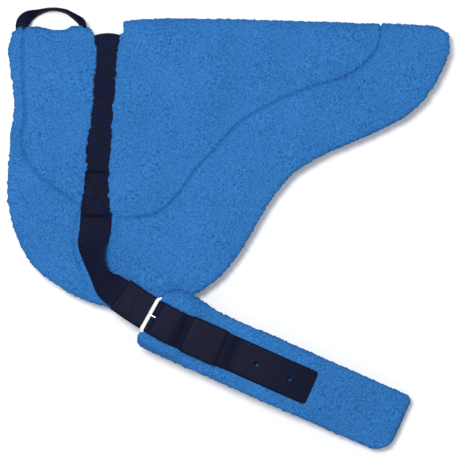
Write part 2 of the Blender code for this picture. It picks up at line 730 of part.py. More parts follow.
def build_girth(upper_axis, lower_axis):
    """Build the fleece, core and lining of both halves of the girth and of the fold between them."""
    place = girth_matrix()
    layers = {
        "lining": (GAP / 2, GIRTH_FLEECE, "fleece"),
        "core": (GIRTH_FLEECE + GAP, GIRTH_FLEECE + GIRTH_CORE, "core"),
        "cover": (GIRTH_FLEECE + GIRTH_CORE + GAP, GIRTH_THICKNESS, "fleece"),
    }
    for label, (low, high, finish) in layers.items():
        rounded = finish == "fleece"
        upper_sign = {"lining": -1.0, "core": 0.0, "cover": 1.0}[label]
        upper = add_piece("girth_upper_" + label, band_mesh(label, 0.0, upper_base, low, high),
                          FINISH[finish], upper_axis, place)
        round_band(upper, 0.0, upper_sign if rounded else 0.0)
        lower_mesh = band_mesh(label, GIRTH_OFF_START, lower_base, GIRTH_THICKNESS - high,
                               GIRTH_THICKNESS - low)
        lower = add_piece("girth_lower_" + label, lower_mesh, FINISH[finish], lower_axis, place)
        round_band(lower, GIRTH_OFF_START, -upper_sign if rounded else 0.0)
        inner = (low, low + GAP) if low > GAP else (0.0, 0.0)
        outline = half_ring((GIRTH_UPPER_LENGTH, FOLD_RADIUS), (high, high + GAP), inner)
        fold = extrude_outline(label, (outline,), GIRTH_WIDTH, MESH_TO_XZ)
        add_piece("girth_fold_" + label, fold, FINISH[finish], upper_axis, place)


def near_face_matrix():
    """Place of what is sewn on the near end: its origin on the girth's outer face, Z away from it."""
    return girth_matrix() @ Matrix.Translation((0.0, 0.0, UPPER_END_Z + GIRTH_THICKNESS))


def near_frame_turn():
    """Turn of the near buckle about its base bar, in line with the billet that pulls it."""
    return -math.atan2(billet_line(-FRAME_PAST_END) - billet_line(BASE_BAR_S), FRAME_LENGTH)


def near_frame_matrix():
    """Place of the near buckle's frame and tongue."""
    bar = Vector((BASE_BAR_S, 0.0, 0.0))
    pivot = Vector((BASE_BAR_S, billet_line(BASE_BAR_S), 0.0))
    turn = Matrix.Rotation(near_frame_turn(), 4, "Z")
    return near_face_matrix() @ Matrix.Translation(pivot) @ turn @ Matrix.Translation(-bar)


def off_face_matrix():
    """Place of what is sewn on the off end, which faces the floor."""
    return (girth_matrix() @ Matrix.Translation((GIRTH_OFF_START, 0.0, OFF_END_LIFT))
            @ Matrix.Rotation(math.pi, 4, "X"))


def frame_points():
    """Middle of the buckle's wire: a rounded oblong that leans from the base bar to the far bar."""
    half = FRAME_WIDTH / 2 - WIRE_RADIUS
    inset = FRAME_CORNER
    far = -FRAME_PAST_END
    corners = ((far, -half, 1, 1), (far, half, 1, -1), (BASE_BAR_S, half, -1, -1),
               (BASE_BAR_S, -half, -1, 1))
    starts = (math.pi * 1.5, math.pi, math.pi / 2, 0.0)
    points = []
    for (x, y, x_sign, y_sign), start in zip(corners, starts):
        centre = Vector((x + x_sign * inset, y + y_sign * inset))
        for step in range(4):
            angle = start - math.pi / 2 * step / 3
            place = centre + inset * Vector((math.cos(angle), math.sin(angle)))
            share = (BASE_BAR_S - place.x) / FRAME_LENGTH
            height = BASE_BAR_HEIGHT + (FAR_BAR_HEIGHT - BASE_BAR_HEIGHT) * share
            points.append((place.x, place.y, height))
    return points


def tongue_points():
    """Middle of the tongue's wire: an open loop round the base bar, then a shank to the far bar."""
    loop = WIRE_RADIUS + TONGUE_CLEARANCE + TONGUE_RADIUS
    tip_height = FAR_BAR_HEIGHT + WIRE_RADIUS + GAP + TONGUE_RADIUS
    points = []
    for step in range(TONGUE_LOOP_STEPS + 1):
        angle = TONGUE_LOOP_START + (math.pi / 2 - TONGUE_LOOP_START) * step / TONGUE_LOOP_STEPS
        points.append((BASE_BAR_S + loop * math.cos(angle), 0.0, BASE_BAR_HEIGHT + loop * math.sin(angle)))
    tip = -FRAME_PAST_END - WIRE_RADIUS - TONGUE_PAST_BAR
    shank = BASE_BAR_S - FRAME_LENGTH * TONGUE_FALL_SHARE
    points.append((shank, 0.0, tip_height))
    points.append((tip, 0.0, tip_height))
    return points


def chape_mesh():
    """Mesh of the chape: a strap doubled round the base bar, its tail sewn to the girth."""
    inner = WIRE_RADIUS + GAP
    outer = inner + CHAPE_THICKNESS
    bar = (BASE_BAR_S, BASE_BAR_HEIGHT)
    angles = [CHAPE_WRAP_START + (CHAPE_WRAP_END - CHAPE_WRAP_START) * step / CHAPE_WRAP_STEPS
              for step in range(CHAPE_WRAP_STEPS + 1)]
    wrap = [Vector((bar[0] + outer * math.cos(angle), bar[1] + outer * math.sin(angle))) for angle in angles]
    bore = [Vector((bar[0] + inner * math.cos(angle), bar[1] + inner * math.sin(angle)))
            for angle in reversed(angles)]
    middle = GAP + CHAPE_THICKNESS
    top = CHAPE_TAIL_HEIGHT
    knee = bar[0] + CHAPE_KNEE
    outline = [Vector((CHAPE_TAIL, top)), Vector((knee, top)), *wrap, Vector((knee, GAP)),
               Vector((CHAPE_TAIL, GAP)), Vector((CHAPE_TAIL, middle)), Vector((knee, middle)),
               *bore, Vector((knee, middle + GAP)), Vector((CHAPE_TAIL, middle + GAP))]
    return extrude_outline("chape", (outline,), CHAPE_WIDTH, MESH_TO_XZ)


def lean_chape(mesh):
    """Turn the loop of the near chape with the buckle's base bar, and leave its tail straight."""
    middle = billet_line(BASE_BAR_S)
    slope = math.tan(near_frame_turn())
    for vert in mesh.vertices:
        fade = 1.0 - smoothstep((vert.co.x - BASE_BAR_S) / (KEEPER_START - BASE_BAR_S))
        vert.co.x -= (vert.co.y - middle) * slope * fade


def keeper_mesh(billet_room):
    """Mesh of the keeper: a strap bridged over the chape and the billet, its feet on the girth."""
    half = BILLET_WIDTH / 2 + KEEPER_CLEARANCE
    outer = half + KEEPER_WALL
    room = CHAPE_TAIL_HEIGHT + billet_room
    top = room + KEEPER_WALL
    outline = ((-outer, GAP), (-half, GAP), (-half, room), (half, room), (half, GAP), (outer, GAP),
               (outer, top), (-outer, top))
    place = Matrix.Translation((KEEPER_START + KEEPER_LENGTH / 2, 0.0, 0.0))
    return extrude_outline("keeper", (outline,), KEEPER_LENGTH, place @ MESH_TO_YZ)


def build_buckle(side, matrix, frame_matrix, girth_axis, frame_axis, tongue_axis, billet_room):
    """Build one buckle with its chape and keeper on the girth's end."""
    chape = add_piece(side + "_chape", chape_mesh(), FINISH["strap"], girth_axis, matrix)
    slit = box_mesh("tongue_slit", (-OVERRUN, -TONGUE_SLIT / 2, -OVERRUN),
                    (BASE_BAR_S + TONGUE_SLIT_REACH, TONGUE_SLIT / 2, OVER_BAR_HEIGHT + OVERRUN))
    cut(chape, slit)
    if side == "near":
        apply_modifiers(chape)
        lean_chape(chape.data)
    add_piece(side + "_keeper", keeper_mesh(billet_room), FINISH["strap"], girth_axis, matrix)
    add_piece(side + "_buckle_frame", wire_mesh("frame", frame_points(), WIRE_RADIUS, closed=True),
              FINISH["chrome"], frame_axis, frame_matrix)
    add_piece(side + "_buckle_tongue", wire_mesh("tongue", tongue_points(), TONGUE_RADIUS),
              FINISH["chrome"], tongue_axis, frame_matrix)


def tug_plan():
    """Plan of a free tug: straight on from the surcingle, then bent towards the girth."""
    top, bottom = surcingle_line()
    run = (bottom - top).normalized()
    return [bottom + run * GAP, bottom + run * TUG_STRAIGHT, *[pad_point(share) for share in TUG_SHARES]]


def near_tug_points():
    """Middle of the near tug, from the stitch line to where its end lies under the billet."""
    start = HALF_THICKNESS + LAP_BASE + WEB_THICKNESS / 2
    end = UPPER_END_Z + GIRTH_THICKNESS - WEB_THICKNESS / 2
    points = [(place.x, place.y, start + (end - start) * share)
              for place, share in zip(tug_plan(), TUG_RISE_SHARES)]
    return smooth_points(points, 3)


def billet_line(reach):
    """Sideways place of the billet over the girth at a distance from the near end."""
    share = max((KEEPER_START - reach) / (LAP_TO_GIRTH + KEEPER_START), 0.0)
    return LAP_OFFSET * share ** 2


def near_billet_points():
    """Middle of the near billet in the girth's space, under the far bar, over the base bar and on."""
    face = GIRTH_THICKNESS + GAP + BILLET_THICKNESS / 2
    far = -FRAME_PAST_END
    rise = OVER_BAR_HEIGHT
    reaches = [-LAP_TO_GIRTH, -LAP_TO_GIRTH / 2, far]
    heights = [0.0, 0.0, 0.0]
    for reach, height in zip(BILLET_REACH_SHARES[1:], BILLET_RISE_SHARES[1:]):
        reaches.append(far + FRAME_LENGTH * reach)
        heights.append(rise * height)
    tail = CHAPE_TAIL + BILLET_DESCENT
    reaches += [KEEPER_START, CHAPE_TAIL, tail]
    heights += [CHAPE_TAIL_HEIGHT, CHAPE_TAIL_HEIGHT, 0.0]
    steps = 6
    for step in range(1, steps + 1):
        reaches.append(tail + (NEAR_BILLET_REACH - tail) * step / steps)
        heights.append(0.0)
    return [(reach, billet_line(reach), upper_base(max(reach, 0.0)) + face + height)
            for reach, height in zip(reaches, heights)]


def hole_cutter(name, reach, side, low, high):
    """Round cutter through a billet between two heights."""
    bm = bmesh.new()
    bmesh.ops.create_cone(bm, cap_ends=True, segments=12, radius1=HOLE_RADIUS, radius2=HOLE_RADIUS,
                          depth=high - low)
    bmesh.ops.translate(bm, vec=(reach, side, (low + high) / 2), verts=bm.verts)
    mesh = bpy.data.meshes.new(name)
    bm.to_mesh(mesh)
    bm.free()
    return mesh


def round_tip(mesh, end):
    """Round the corners of a billet's free end in plan."""
    bm = bmesh.new()
    bm.from_mesh(mesh)
    corners = [edge for edge in bm.edges
               if all((vert.co.to_2d() - end).length < BILLET_WIDTH / 2 + GAP for vert in edge.verts)
               and (edge.verts[0].co - edge.verts[1].co).length < 2 * BILLET_THICKNESS]
    bmesh.ops.bevel(bm, geom=corners, offset=BILLET_TIP, offset_type="OFFSET", segments=3,
                    profile=ROUND_PROFILE_SHARE, affect="EDGES", clamp_overlap=True)
    bm.to_mesh(mesh)
    bm.free()


def build_near_strap(axis):
    """Build the near tug and the billet that is buckled to the girth."""
    turns = [TUG_BANK * share for share in smooth_values(TUG_BANK_SHARES, 3)]
    tug_points = near_tug_points()
    run = (tug_points[-1] - tug_points[-2]).normalized()
    tug_points.append(tug_points[-1] + run * BILLET_LAP)
    tug = strap_mesh("tug", tug_points, WEB_WIDTH, WEB_THICKNESS, turns + [0.0])
    add_piece("near_tug_web", tug, FINISH["web"], axis)
    points = near_billet_points()
    mesh = strap_mesh("billet", points, BILLET_WIDTH, BILLET_THICKNESS)
    round_tip(mesh, Vector(points[-1]).to_2d())
    billet = add_piece("near_billet", mesh, FINISH["strap"], axis, girth_matrix())
    low = UPPER_END_Z
    high = UPPER_END_Z + GIRTH_THICKNESS + 2 * OVER_BAR_HEIGHT
    for index in range(NEAR_HOLES):
        reach = NEAR_BILLET_REACH - HOLE_TO_TIP - index * HOLE_PITCH
        cut(billet, hole_cutter("hole", reach, billet_line(reach), FOLD_RADIUS, high))
    start, end = (FRAME_LENGTH * share - FRAME_LENGTH for share in SLOT_SHARES)
    pivot = Matrix.Translation((BASE_BAR_S, billet_line(BASE_BAR_S), 0.0))
    slot = box_mesh("slot", (start, -SLOT_WIDTH / 2, low), (end, SLOT_WIDTH / 2, high))
    cut(billet, slot, pivot @ Matrix.Rotation(near_frame_turn(), 4, "Z"))


def off_tug_height():
    """Height over the crease plane of the middle of the off tug, just clear of the floor."""
    return LAP_BASE + WEB_THICKNESS / 2


def off_billet_run():
    """Ends of the off billet in plan."""
    start = pad_point(TUG_SHARES[-1])
    heading = Vector((math.cos(GIRTH_HEADING), math.sin(GIRTH_HEADING)))
    return start, start + heading * OFF_BILLET_LENGTH


def off_strap_points():
    """Middle of the off tug over the crease plane: level, then up over the billet's end."""
    low = off_tug_height()
    lap = low - BILLET_THICKNESS - GAP
    heights = [low, low, low, low, low, lap, lap, lap]
    return smooth_points([(place.x, place.y, height) for place, height in zip(tug_plan(), heights)], 3)


def off_strap_cutters():
    """Cutters that let the off tug and billet lie in the off cover, flush with the floor."""
    base = off_tug_height() - WEB_THICKNESS / 2 - BILLET_THICKNESS - 2 * GAP
    width = BILLET_WIDTH + 2 * CHANNEL_CLEARANCE
    tug = [(point.x, point.y, (base + HALF_THICKNESS + OVERRUN) / 2) for point in off_strap_points()]
    depth = HALF_THICKNESS + OVERRUN - base
    start, end = off_billet_run()
    middle = (base + HALF_THICKNESS + OVERRUN) / 2
    back = start - (end - start).normalized() * OVERRUN
    billet = [(back.x, back.y, middle), (end.x, end.y, middle)]
    return [strap_mesh("off_tug_channel", tug, width, depth),
            strap_mesh("off_billet_channel", billet, width, depth)]


def build_off_strap(axis):
    """Build the off tug and its billet, unbuckled and flat on the floor."""
    tug_points = off_strap_points()
    start, end = off_billet_run()
    heading = (end - start).normalized()
    last = tug_points[-1] + heading.to_3d() * BILLET_LAP
    tug = strap_mesh("tug", [*tug_points, last], WEB_WIDTH, WEB_THICKNESS)
    place_half(add_piece("off_tug_web", tug, FINISH["web"], axis), "off")
    height = LAP_TOP - BILLET_THICKNESS / 2
    run = [start + (end - start) * step / 4 for step in range(5)]
    mesh = strap_mesh("billet", [(point.x, point.y, height) for point in run], BILLET_WIDTH,
                      BILLET_THICKNESS)
    round_tip(mesh, end)
    billet = add_piece("off_billet", mesh, FINISH["strap"], axis)
    for share in OFF_HOLE_SHARES:
        place = start + (end - start) * share
        cut(billet, hole_cutter("hole", place.x, place.y, FLEECE_BASE, HALF_THICKNESS + OVERRUN))
    place_half(billet, "off")


def build_axes():
    """Put an empty on the axis of each joint."""
    crease = Vector((0.0, CREASE_Y, HALF_THICKNESS))
    near = add_axis("spine_fold_axis", crease)
    spine = add_axis("spine_roll_axis", crease)
    handle = add_axis("handle_axis", handle_path()[0][2 * HANDLE_HINGES[0]], parent=spine)
    stitch = pad_point(SURCINGLE_SHARES[1])
    near_tug = add_axis("near_tug_axis", (stitch.x, stitch.y, HALF_THICKNESS + LAP_TOP), parent=near)
    off_tug = add_axis("off_tug_axis", (stitch.x, stitch.y, HALF_THICKNESS - LAP_TOP))
    fold_place = girth_matrix() @ Vector((GIRTH_UPPER_LENGTH, 0.0, FOLD_RADIUS))
    girth_fold = add_axis("girth_fold_axis", fold_place, GIRTH_HEADING, near_tug)
    bar = Vector((BASE_BAR_S, 0.0, BASE_BAR_HEIGHT))
    near_heading = GIRTH_HEADING + near_frame_turn()
    near_tongue = add_axis("near_tongue_axis", near_frame_matrix() @ bar, near_heading, near_tug)
    off_frame = add_axis("off_buckle_axis", off_face_matrix() @ bar, GIRTH_HEADING, girth_fold)
    off_tongue = add_axis("off_tongue_axis", off_face_matrix() @ bar, GIRTH_HEADING, off_frame)
    return {"near": near, "spine": spine, "handle": handle, "near_tug": near_tug, "off_tug": off_tug,
            "girth_fold": girth_fold, "near_tongue": near_tongue, "off_frame": off_frame,
            "off_tongue": off_tongue}


clear_scene()
PARTS = new_collection("bareback_pad")
CUTTERS = new_collection("cutters")
GUIDES = new_collection("guides")
FINISH = {
    "fleece": material("fleece", FLEECE_BLUE, 0.95),
    "lining": material("lining", FLEECE_BLUE, 0.90),
    "core": material("felt_core", FELT_GREY, 0.90),
    "web": material("nylon_web", WEB_NAVY, 0.65),
    "strap": material("smooth_strap", STRAP_NAVY, 0.45),
    "chrome": material("chrome_wire", CHROME, 0.15, 1.0),
}
AXES = build_axes()
build_half("off", None)
build_half("near", AXES["near"])
build_spine(AXES["spine"])
build_handle(AXES["spine"], AXES["handle"])
build_girth(AXES["near_tug"], AXES["girth_fold"])
build_near_strap(AXES["near_tug"])
build_off_strap(AXES["off_tug"])
build_buckle("near", near_face_matrix(), near_frame_matrix(), AXES["near_tug"], AXES["near_tug"],
             AXES["near_tongue"], NEAR_KEEPER_GAP)
build_buckle("off", off_face_matrix(), off_face_matrix(), AXES["girth_fold"], AXES["off_frame"],
             AXES["off_tongue"], OFF_KEEPER_GAP)
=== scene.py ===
"""Looks of the bareback pad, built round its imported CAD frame.

The pad lies folded on its spine, on its off side, with its girth folded double beside it. All
lengths are in metres and in the CAD's own frame: X from the withers to the tail, Y from the lower
edge up to the spine, and Z up from the floor.
"""

import itertools
import logging
import math
from contextlib import contextmanager
from dataclasses import dataclass, field
from enum import Enum
from typing import Callable, Iterable, Iterator, Sequence

import bmesh
import bpy
import numpy as np
from mathutils import Matrix, Vector
from mathutils.bvhtree import BVHTree


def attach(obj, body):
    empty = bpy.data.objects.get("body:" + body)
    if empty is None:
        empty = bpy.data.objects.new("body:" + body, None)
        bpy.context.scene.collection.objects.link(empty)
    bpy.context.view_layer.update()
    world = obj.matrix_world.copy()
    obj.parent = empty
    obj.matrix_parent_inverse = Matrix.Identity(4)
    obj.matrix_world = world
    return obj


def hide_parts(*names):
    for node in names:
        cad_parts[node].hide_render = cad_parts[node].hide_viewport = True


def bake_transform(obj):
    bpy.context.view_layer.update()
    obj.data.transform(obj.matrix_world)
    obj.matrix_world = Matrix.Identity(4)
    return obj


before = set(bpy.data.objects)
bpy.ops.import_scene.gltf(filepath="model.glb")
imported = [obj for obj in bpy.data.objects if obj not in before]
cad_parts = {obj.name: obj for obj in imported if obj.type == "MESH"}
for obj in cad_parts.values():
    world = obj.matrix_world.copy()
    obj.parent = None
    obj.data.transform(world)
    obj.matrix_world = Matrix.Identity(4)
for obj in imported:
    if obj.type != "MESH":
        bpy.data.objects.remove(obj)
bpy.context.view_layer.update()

LOG = logging.getLogger("bareback_pad")
MM = 0.001
FLOOR_CLEARANCE = 0.2 * MM
UP = Vector((0.0, 0.0, 1.0))
Measure = float | np.ndarray


class Side(Enum):
    """The two sides of the horse that the pad's halves lie on."""

    OFF = "off"
    NEAR = "near"

    @property
    def sign(self) -> float:
        """Direction of the side's outer face along Z while the pad is folded."""
        return 1.0 if self is Side.NEAR else -1.0


# The plan


@dataclass(frozen=True)
class PadPlan:
    """The folded pad's plan, heights, lines and straps, in the sizes of its CAD.

    A base is how far a layer's inner face lies from the crease's plane. The places of lines are shares
    of the pad's length, from its front, and of its drop, from its crease.
    """

    length: float = 0.725
    drop: float = 0.456
    front_x: float = -0.266
    crease_y: float = 0.157
    half: float = 0.023
    core_top: float = 0.016
    web_width: float = 0.050
    web_thickness: float = 0.002
    web_base: float = 0.0183
    lap_base: float = 0.0206
    lap_length: float = 0.077
    web_fold_depth: float = 0.023
    gap: float = 0.0003
    rib: float = 3.1 * MM
    rib_height: float = 0.7 * MM
    billet_width: float = 56 * MM
    billet_thickness: float = 3 * MM
    billet_tip: float = 3.5 * MM
    billet_step: float = 2.5 * MM
    tug_straight: float = 20 * MM
    web_margin: float = 1.5 * MM
    seam_shares: tuple = (
        (0.036, 0.0), (0.034, 0.093), (0.037, 0.229), (0.040, 0.305), (0.032, 0.370), (0.039, 0.435),
        (0.057, 0.481), (0.104, 0.550), (0.163, 0.615), (0.202, 0.647), (0.241, 0.658), (0.288, 0.660),
        (0.338, 0.644), (0.381, 0.586), (0.422, 0.494), (0.470, 0.413), (0.522, 0.323), (0.590, 0.257),
        (0.674, 0.197), (0.760, 0.156), (0.804, 0.110), (0.833, 0.060), (0.844, 0.0),
    )
    surcingle_shares: tuple = ((0.225, 0.0), (0.200, 0.659))
    tug_shares: tuple = ((0.194, 0.747), (0.195, 0.787), (0.202, 0.834), (0.216, 0.877), (0.234, 0.908),
                         (0.2565, 0.933))

    def point(self, share: Sequence[float]) -> Vector:
        """The point of the plan at a share of the pad's length and drop."""
        return Vector((self.front_x + share[0] * self.length, self.crease_y - share[1] * self.drop))

    def height(self, side: Side, reach: float) -> float:
        """Height over the floor of a layer at a reach outwards from the crease's plane."""
        return self.half + side.sign * reach

    def seam(self) -> list[Vector]:
        """Plan of the quilting seam round the seat."""
        return smooth_points([self.point(share).to_3d() for share in self.seam_shares], 4)

    def surcingle(self) -> tuple[Vector, Vector]:
        """Ends of the surcingle's straight run, from its fold to its stitch line."""
        top = self.point(self.surcingle_shares[0])
        top.y -= self.web_fold_depth + self.gap
        return top, self.point(self.surcingle_shares[1])

    def tug(self) -> list[Vector]:
        """Plan of the free tug below the surcingle, bending towards the girth."""
        top, bottom = self.surcingle()
        run = (bottom - top).normalized()
        return [bottom + run * self.gap, bottom + run * self.tug_straight,
                *[self.point(share) for share in self.tug_shares]]

    def web(self, name: str, route: Sequence[Vector], columns: int = 6, turns: Sequence[float] = (),
            rib_height: float | None = None, across: Vector | None = None) -> "Strap":
        """Lay ribbed web of the surcingle's size along a route, as Strap says."""
        return Strap(name, route, self.web_width, self.web_thickness, turns, self.rib,
                     rib_height or self.rib_height, self.rib / 4, columns, across=across)

    def billet(self, name: str, route: Sequence[Vector]) -> "Strap":
        """Lay smooth strap of the billets' size along a route."""
        return Strap(name, route, self.billet_width, self.billet_thickness, spacing=self.billet_step,
                     columns=16, tip=self.billet_tip)


@dataclass(frozen=True)
class GirthPlan:
    """The folded girth's place, slopes and layers, in the sizes of its CAD."""

    pad: PadPlan
    width: float = 0.102
    thickness: float = 0.017
    upper_length: float = 0.437
    lower_length: float = 0.281
    upper_level_share: float = 0.458
    over_pad: float = 0.0015
    off_end_lift: float = 0.014
    heading: float = math.radians(-24)
    lap_to_girth: float = 0.064
    lap_offset: float = 0.014
    keeper_start: float = 0.061

    @property
    def fold_radius(self) -> float:
        """Height of the fold's middle over the floor."""
        return self.thickness + self.pad.gap

    @property
    def upper_end(self) -> float:
        """Height of the near end's horse side over the floor."""
        return 2 * self.pad.half + self.over_pad

    @property
    def off_start(self) -> float:
        """Distance along the girth at which the off end lies."""
        return self.upper_length - self.lower_length

    def matrix(self) -> Matrix:
        """Place of the girth: its origin on the floor under its near end, X along it."""
        lap = self.pad.point(self.pad.tug_shares[-1])
        turn = Matrix.Rotation(self.heading, 4, "Z")
        back = Matrix.Translation((self.lap_to_girth, -self.lap_offset, 0.0))
        return Matrix.Translation((lap.x, lap.y, 0.0)) @ turn @ back

    def upper_base(self, reach: Measure) -> Measure:
        """Height of the upper half's horse side at a distance along the girth."""
        level = self.upper_level_share * self.upper_length
        share = ease((reach - level) / (self.upper_length - level))
        low = self.fold_radius + self.pad.gap
        return self.upper_end + (low - self.upper_end) * share

    def billet_line(self, reach: Measure) -> Measure:
        """Sideways place of the billet over the girth."""
        share = np.maximum((self.keeper_start - reach) / (self.lap_to_girth + self.keeper_start), 0.0)
        return self.lap_offset * share ** 2

    def near_face(self) -> Matrix:
        """Place of what is sewn on the near end, Z away from the girth's outer face."""
        return self.matrix() @ Matrix.Translation((0.0, 0.0, self.upper_end + self.thickness))

    def off_face(self) -> Matrix:
        """Place of what is sewn on the off end, which faces the floor."""
        lift = Matrix.Translation((self.off_start, 0.0, self.off_end_lift))
        return self.matrix() @ lift @ Matrix.Rotation(math.pi, 4, "X")


# Sums


def ease(share: Measure) -> Measure:
    """Ease a share, or each of an array of shares, from 0 to 1."""
    share = np.clip(share, 0.0, 1.0)
    return share * share * (3.0 - 2.0 * share)


def past(values: np.ndarray, slope: tuple[float, float]) -> np.ndarray:
    """Ease from 0 to 1 from a slope's start over its width."""
    start, width = slope
    return ease((values - start) / width)


def raised(point: Vector, height: float) -> Vector:
    """The point at a height over the floor."""
    return Vector((point.x, point.y, height))


def smooth_points(points: Iterable[Sequence[float]], steps: int) -> list[Vector]:
    """Put a Catmull-Rom curve through points.

    Args:
        points: the points that the curve passes.
        steps: the number of points from each given one to the next.

    Returns:
        The points of the curve, the first and the last given ones included.
    """
    points = [Vector(point) for point in points]
    ends = [2 * points[0] - points[1], *points, 2 * points[-1] - points[-2]]
    result = []
    for before, start, end, after in zip(ends, ends[1:], ends[2:], ends[3:]):
        for step in range(steps):
            t = step / steps
            result.append(0.5 * (2 * start + (end - before) * t
                                 + (2 * before - 5 * start + 4 * end - after) * t ** 2
                                 + (3 * start - before - 3 * end + after) * t ** 3))
    result.append(points[-1])
    return result


def smooth_values(values: Sequence[float], steps: int) -> list[float]:
    """Ease numbers in step with smooth_points."""
    return [point.x for point in smooth_points([(value, 0.0, 0.0) for value in values], steps)]


def even_steps(line: Iterable[Vector], spacing: float,
               least: int = 1) -> tuple[np.ndarray, np.ndarray, np.ndarray]:
    """Cut a line into even steps.

    Args:
        line: the points of the line.
        spacing: the usual length of a step.
        least: the least number of steps.

    Returns:
        The places that the steps end at, their distances along the line, and those of its points.
    """
    points = np.array([tuple(point) for point in line])
    run = np.concatenate(([0.0], np.cumsum(np.linalg.norm(np.diff(points, axis=0), axis=1))))
    count = max(int(round(run[-1] / spacing)), least)
    at = np.linspace(0.0, run[-1], count + 1)
    return np.stack([np.interp(at, run, points[:, axis]) for axis in range(3)], 1), at, run


def even_points(line: Iterable[Vector], spacing: float) -> list[Vector]:
    """Points at about even distances along a line."""
    return [Vector(place) for place in even_steps(line, spacing)[0]]


def path_distance(places: np.ndarray, path: Sequence[Vector]) -> np.ndarray:
    """Measure how far places lie from a path in plan.

    Args:
        places: an array of rows of X and Y.
        path: the points of the path.

    Returns:
        The distance of each place.
    """
    nearest = np.full(len(places), np.inf)
    for start, end in zip(path, path[1:]):
        a = np.array(start[:2])
        run = np.array(end[:2]) - a
        share = np.clip(((places - a) @ run) / max(float(run @ run), 1e-12), 0.0, 1.0)
        nearest = np.minimum(nearest, np.linalg.norm(places - a - share[:, None] * run, axis=1))
    return nearest


def hashed(cells: np.ndarray, seed: int) -> np.ndarray:
    """Three steady numbers from 0 to 1 for each cell of a grid.

    Args:
        cells: whole-number rows of X, Y and Z.
        seed: picks one of many such fields.

    Returns:
        A row of three numbers for each cell.
    """
    mix = (cells[:, 0] * 73856093) ^ (cells[:, 1] * 19349663) ^ (cells[:, 2] * 83492791)
    mix = (mix ^ (seed * 2654435761)) & 0xFFFFFFFF
    columns = []
    for turn in range(3):
        mix = ((mix ^ (mix >> 15)) * (1274126177 + 2 * turn)) & 0xFFFFFFFF
        mix = (mix ^ (mix >> 13)) & 0xFFFFFFFF
        columns.append((mix & 0xFFFFFF) / 0xFFFFFF)
    return np.stack(columns, 1)


def curls(points: np.ndarray, size: float, seed: int) -> tuple[np.ndarray, np.ndarray]:
    """Find the curl of pile that each point lies in.

    Args:
        points: rows of X, Y and Z.
        size: the usual distance between curls.
        seed: picks the field of curls.

    Returns:
        The distance from the curl's middle in sizes, and the curl's own random number.
    """
    cells = points / size
    base = np.floor(cells).astype(np.int64)
    nearest = np.full(len(points), 9.0)
    own = np.zeros(len(points))
    for offset in itertools.product((-1, 0, 1), repeat=3):
        corner = base + np.array(offset)
        jitter = hashed(corner, seed)
        distance = ((cells - corner - jitter) ** 2).sum(1)
        closer = distance < nearest
        nearest = np.where(closer, distance, nearest)
        own = np.where(closer, jitter[:, 0], own)
    return np.sqrt(nearest), own


# Meshes


def new_object(name: str, data: bpy.types.ID) -> bpy.types.Object:
    """Put a mesh, a light or a camera into the scene as an object of that name."""
    item = bpy.data.objects.new(name, data)
    bpy.context.scene.collection.objects.link(item)
    return item


def mesh_of(name: str, bm: bmesh.types.BMesh) -> bpy.types.Mesh:
    """Turn a mesh in the making into a mesh of that name, and free it."""
    mesh = bpy.data.meshes.new(name)
    bm.to_mesh(mesh)
    bm.free()
    return mesh


@contextmanager
def mesh_edit(mesh: bpy.types.Mesh) -> Iterator[bmesh.types.BMesh]:
    """Open a mesh for editing, and write it back at the end."""
    bm = bmesh.new()
    bm.from_mesh(mesh)
    yield bm
    bm.to_mesh(mesh)
    bm.free()


def read_points(mesh: bpy.types.Mesh) -> np.ndarray:
    """The mesh's vertices as rows of X, Y and Z."""
    points = np.zeros(len(mesh.vertices) * 3)
    mesh.vertices.foreach_get("co", points)
    return points.reshape(-1, 3)


def write_points(mesh: bpy.types.Mesh, points: np.ndarray) -> None:
    """Move the mesh's vertices to rows of X, Y and Z."""
    mesh.vertices.foreach_set("co", points.astype(np.float32).ravel())
    mesh.update()


@contextmanager
def moving(mesh: bpy.types.Mesh) -> Iterator[np.ndarray]:
    """Open a mesh's vertices as rows to be moved in place, and write them back at the end."""
    points = read_points(mesh)
    yield points
    write_points(mesh, points)


def read_normals(mesh: bpy.types.Mesh) -> np.ndarray:
    """The vertices' normals as rows of X, Y and Z."""
    normals = np.zeros(len(mesh.vertices) * 3, np.float32)
    mesh.vertex_normals.foreach_get("vector", normals)
    return normals.reshape(-1, 3).astype(float)


def copy_nodes(name: str, nodes: Sequence[str]) -> bpy.types.Object:
    """Join copies of CAD nodes into one new object.

    Args:
        name: the new object's name.
        nodes: the CAD nodes to copy.

    Returns:
        The new object, in the nodes' place.
    """
    bm = bmesh.new()
    for node in nodes:
        bm.from_mesh(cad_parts[node].data)
    bmesh.ops.remove_doubles(bm, verts=bm.verts, dist=0.01 * MM)
    return new_object(name, mesh_of(name, bm))


def remesh(item: bpy.types.Object, voxel: float) -> None:
    """Give an object an even skin of squares of the voxel's size."""
    modifier = item.modifiers.new("remesh", "REMESH")
    modifier.mode = "VOXEL"
    modifier.voxel_size = voxel
    apply_modifiers(item)


def apply_modifiers(item: bpy.types.Object) -> None:
    """Give an object the mesh that its modifiers make."""
    bpy.context.view_layer.update()
    evaluated = item.evaluated_get(bpy.context.evaluated_depsgraph_get())
    mesh = bpy.data.meshes.new_from_object(evaluated)
    item.modifiers.clear()
    item.data = mesh


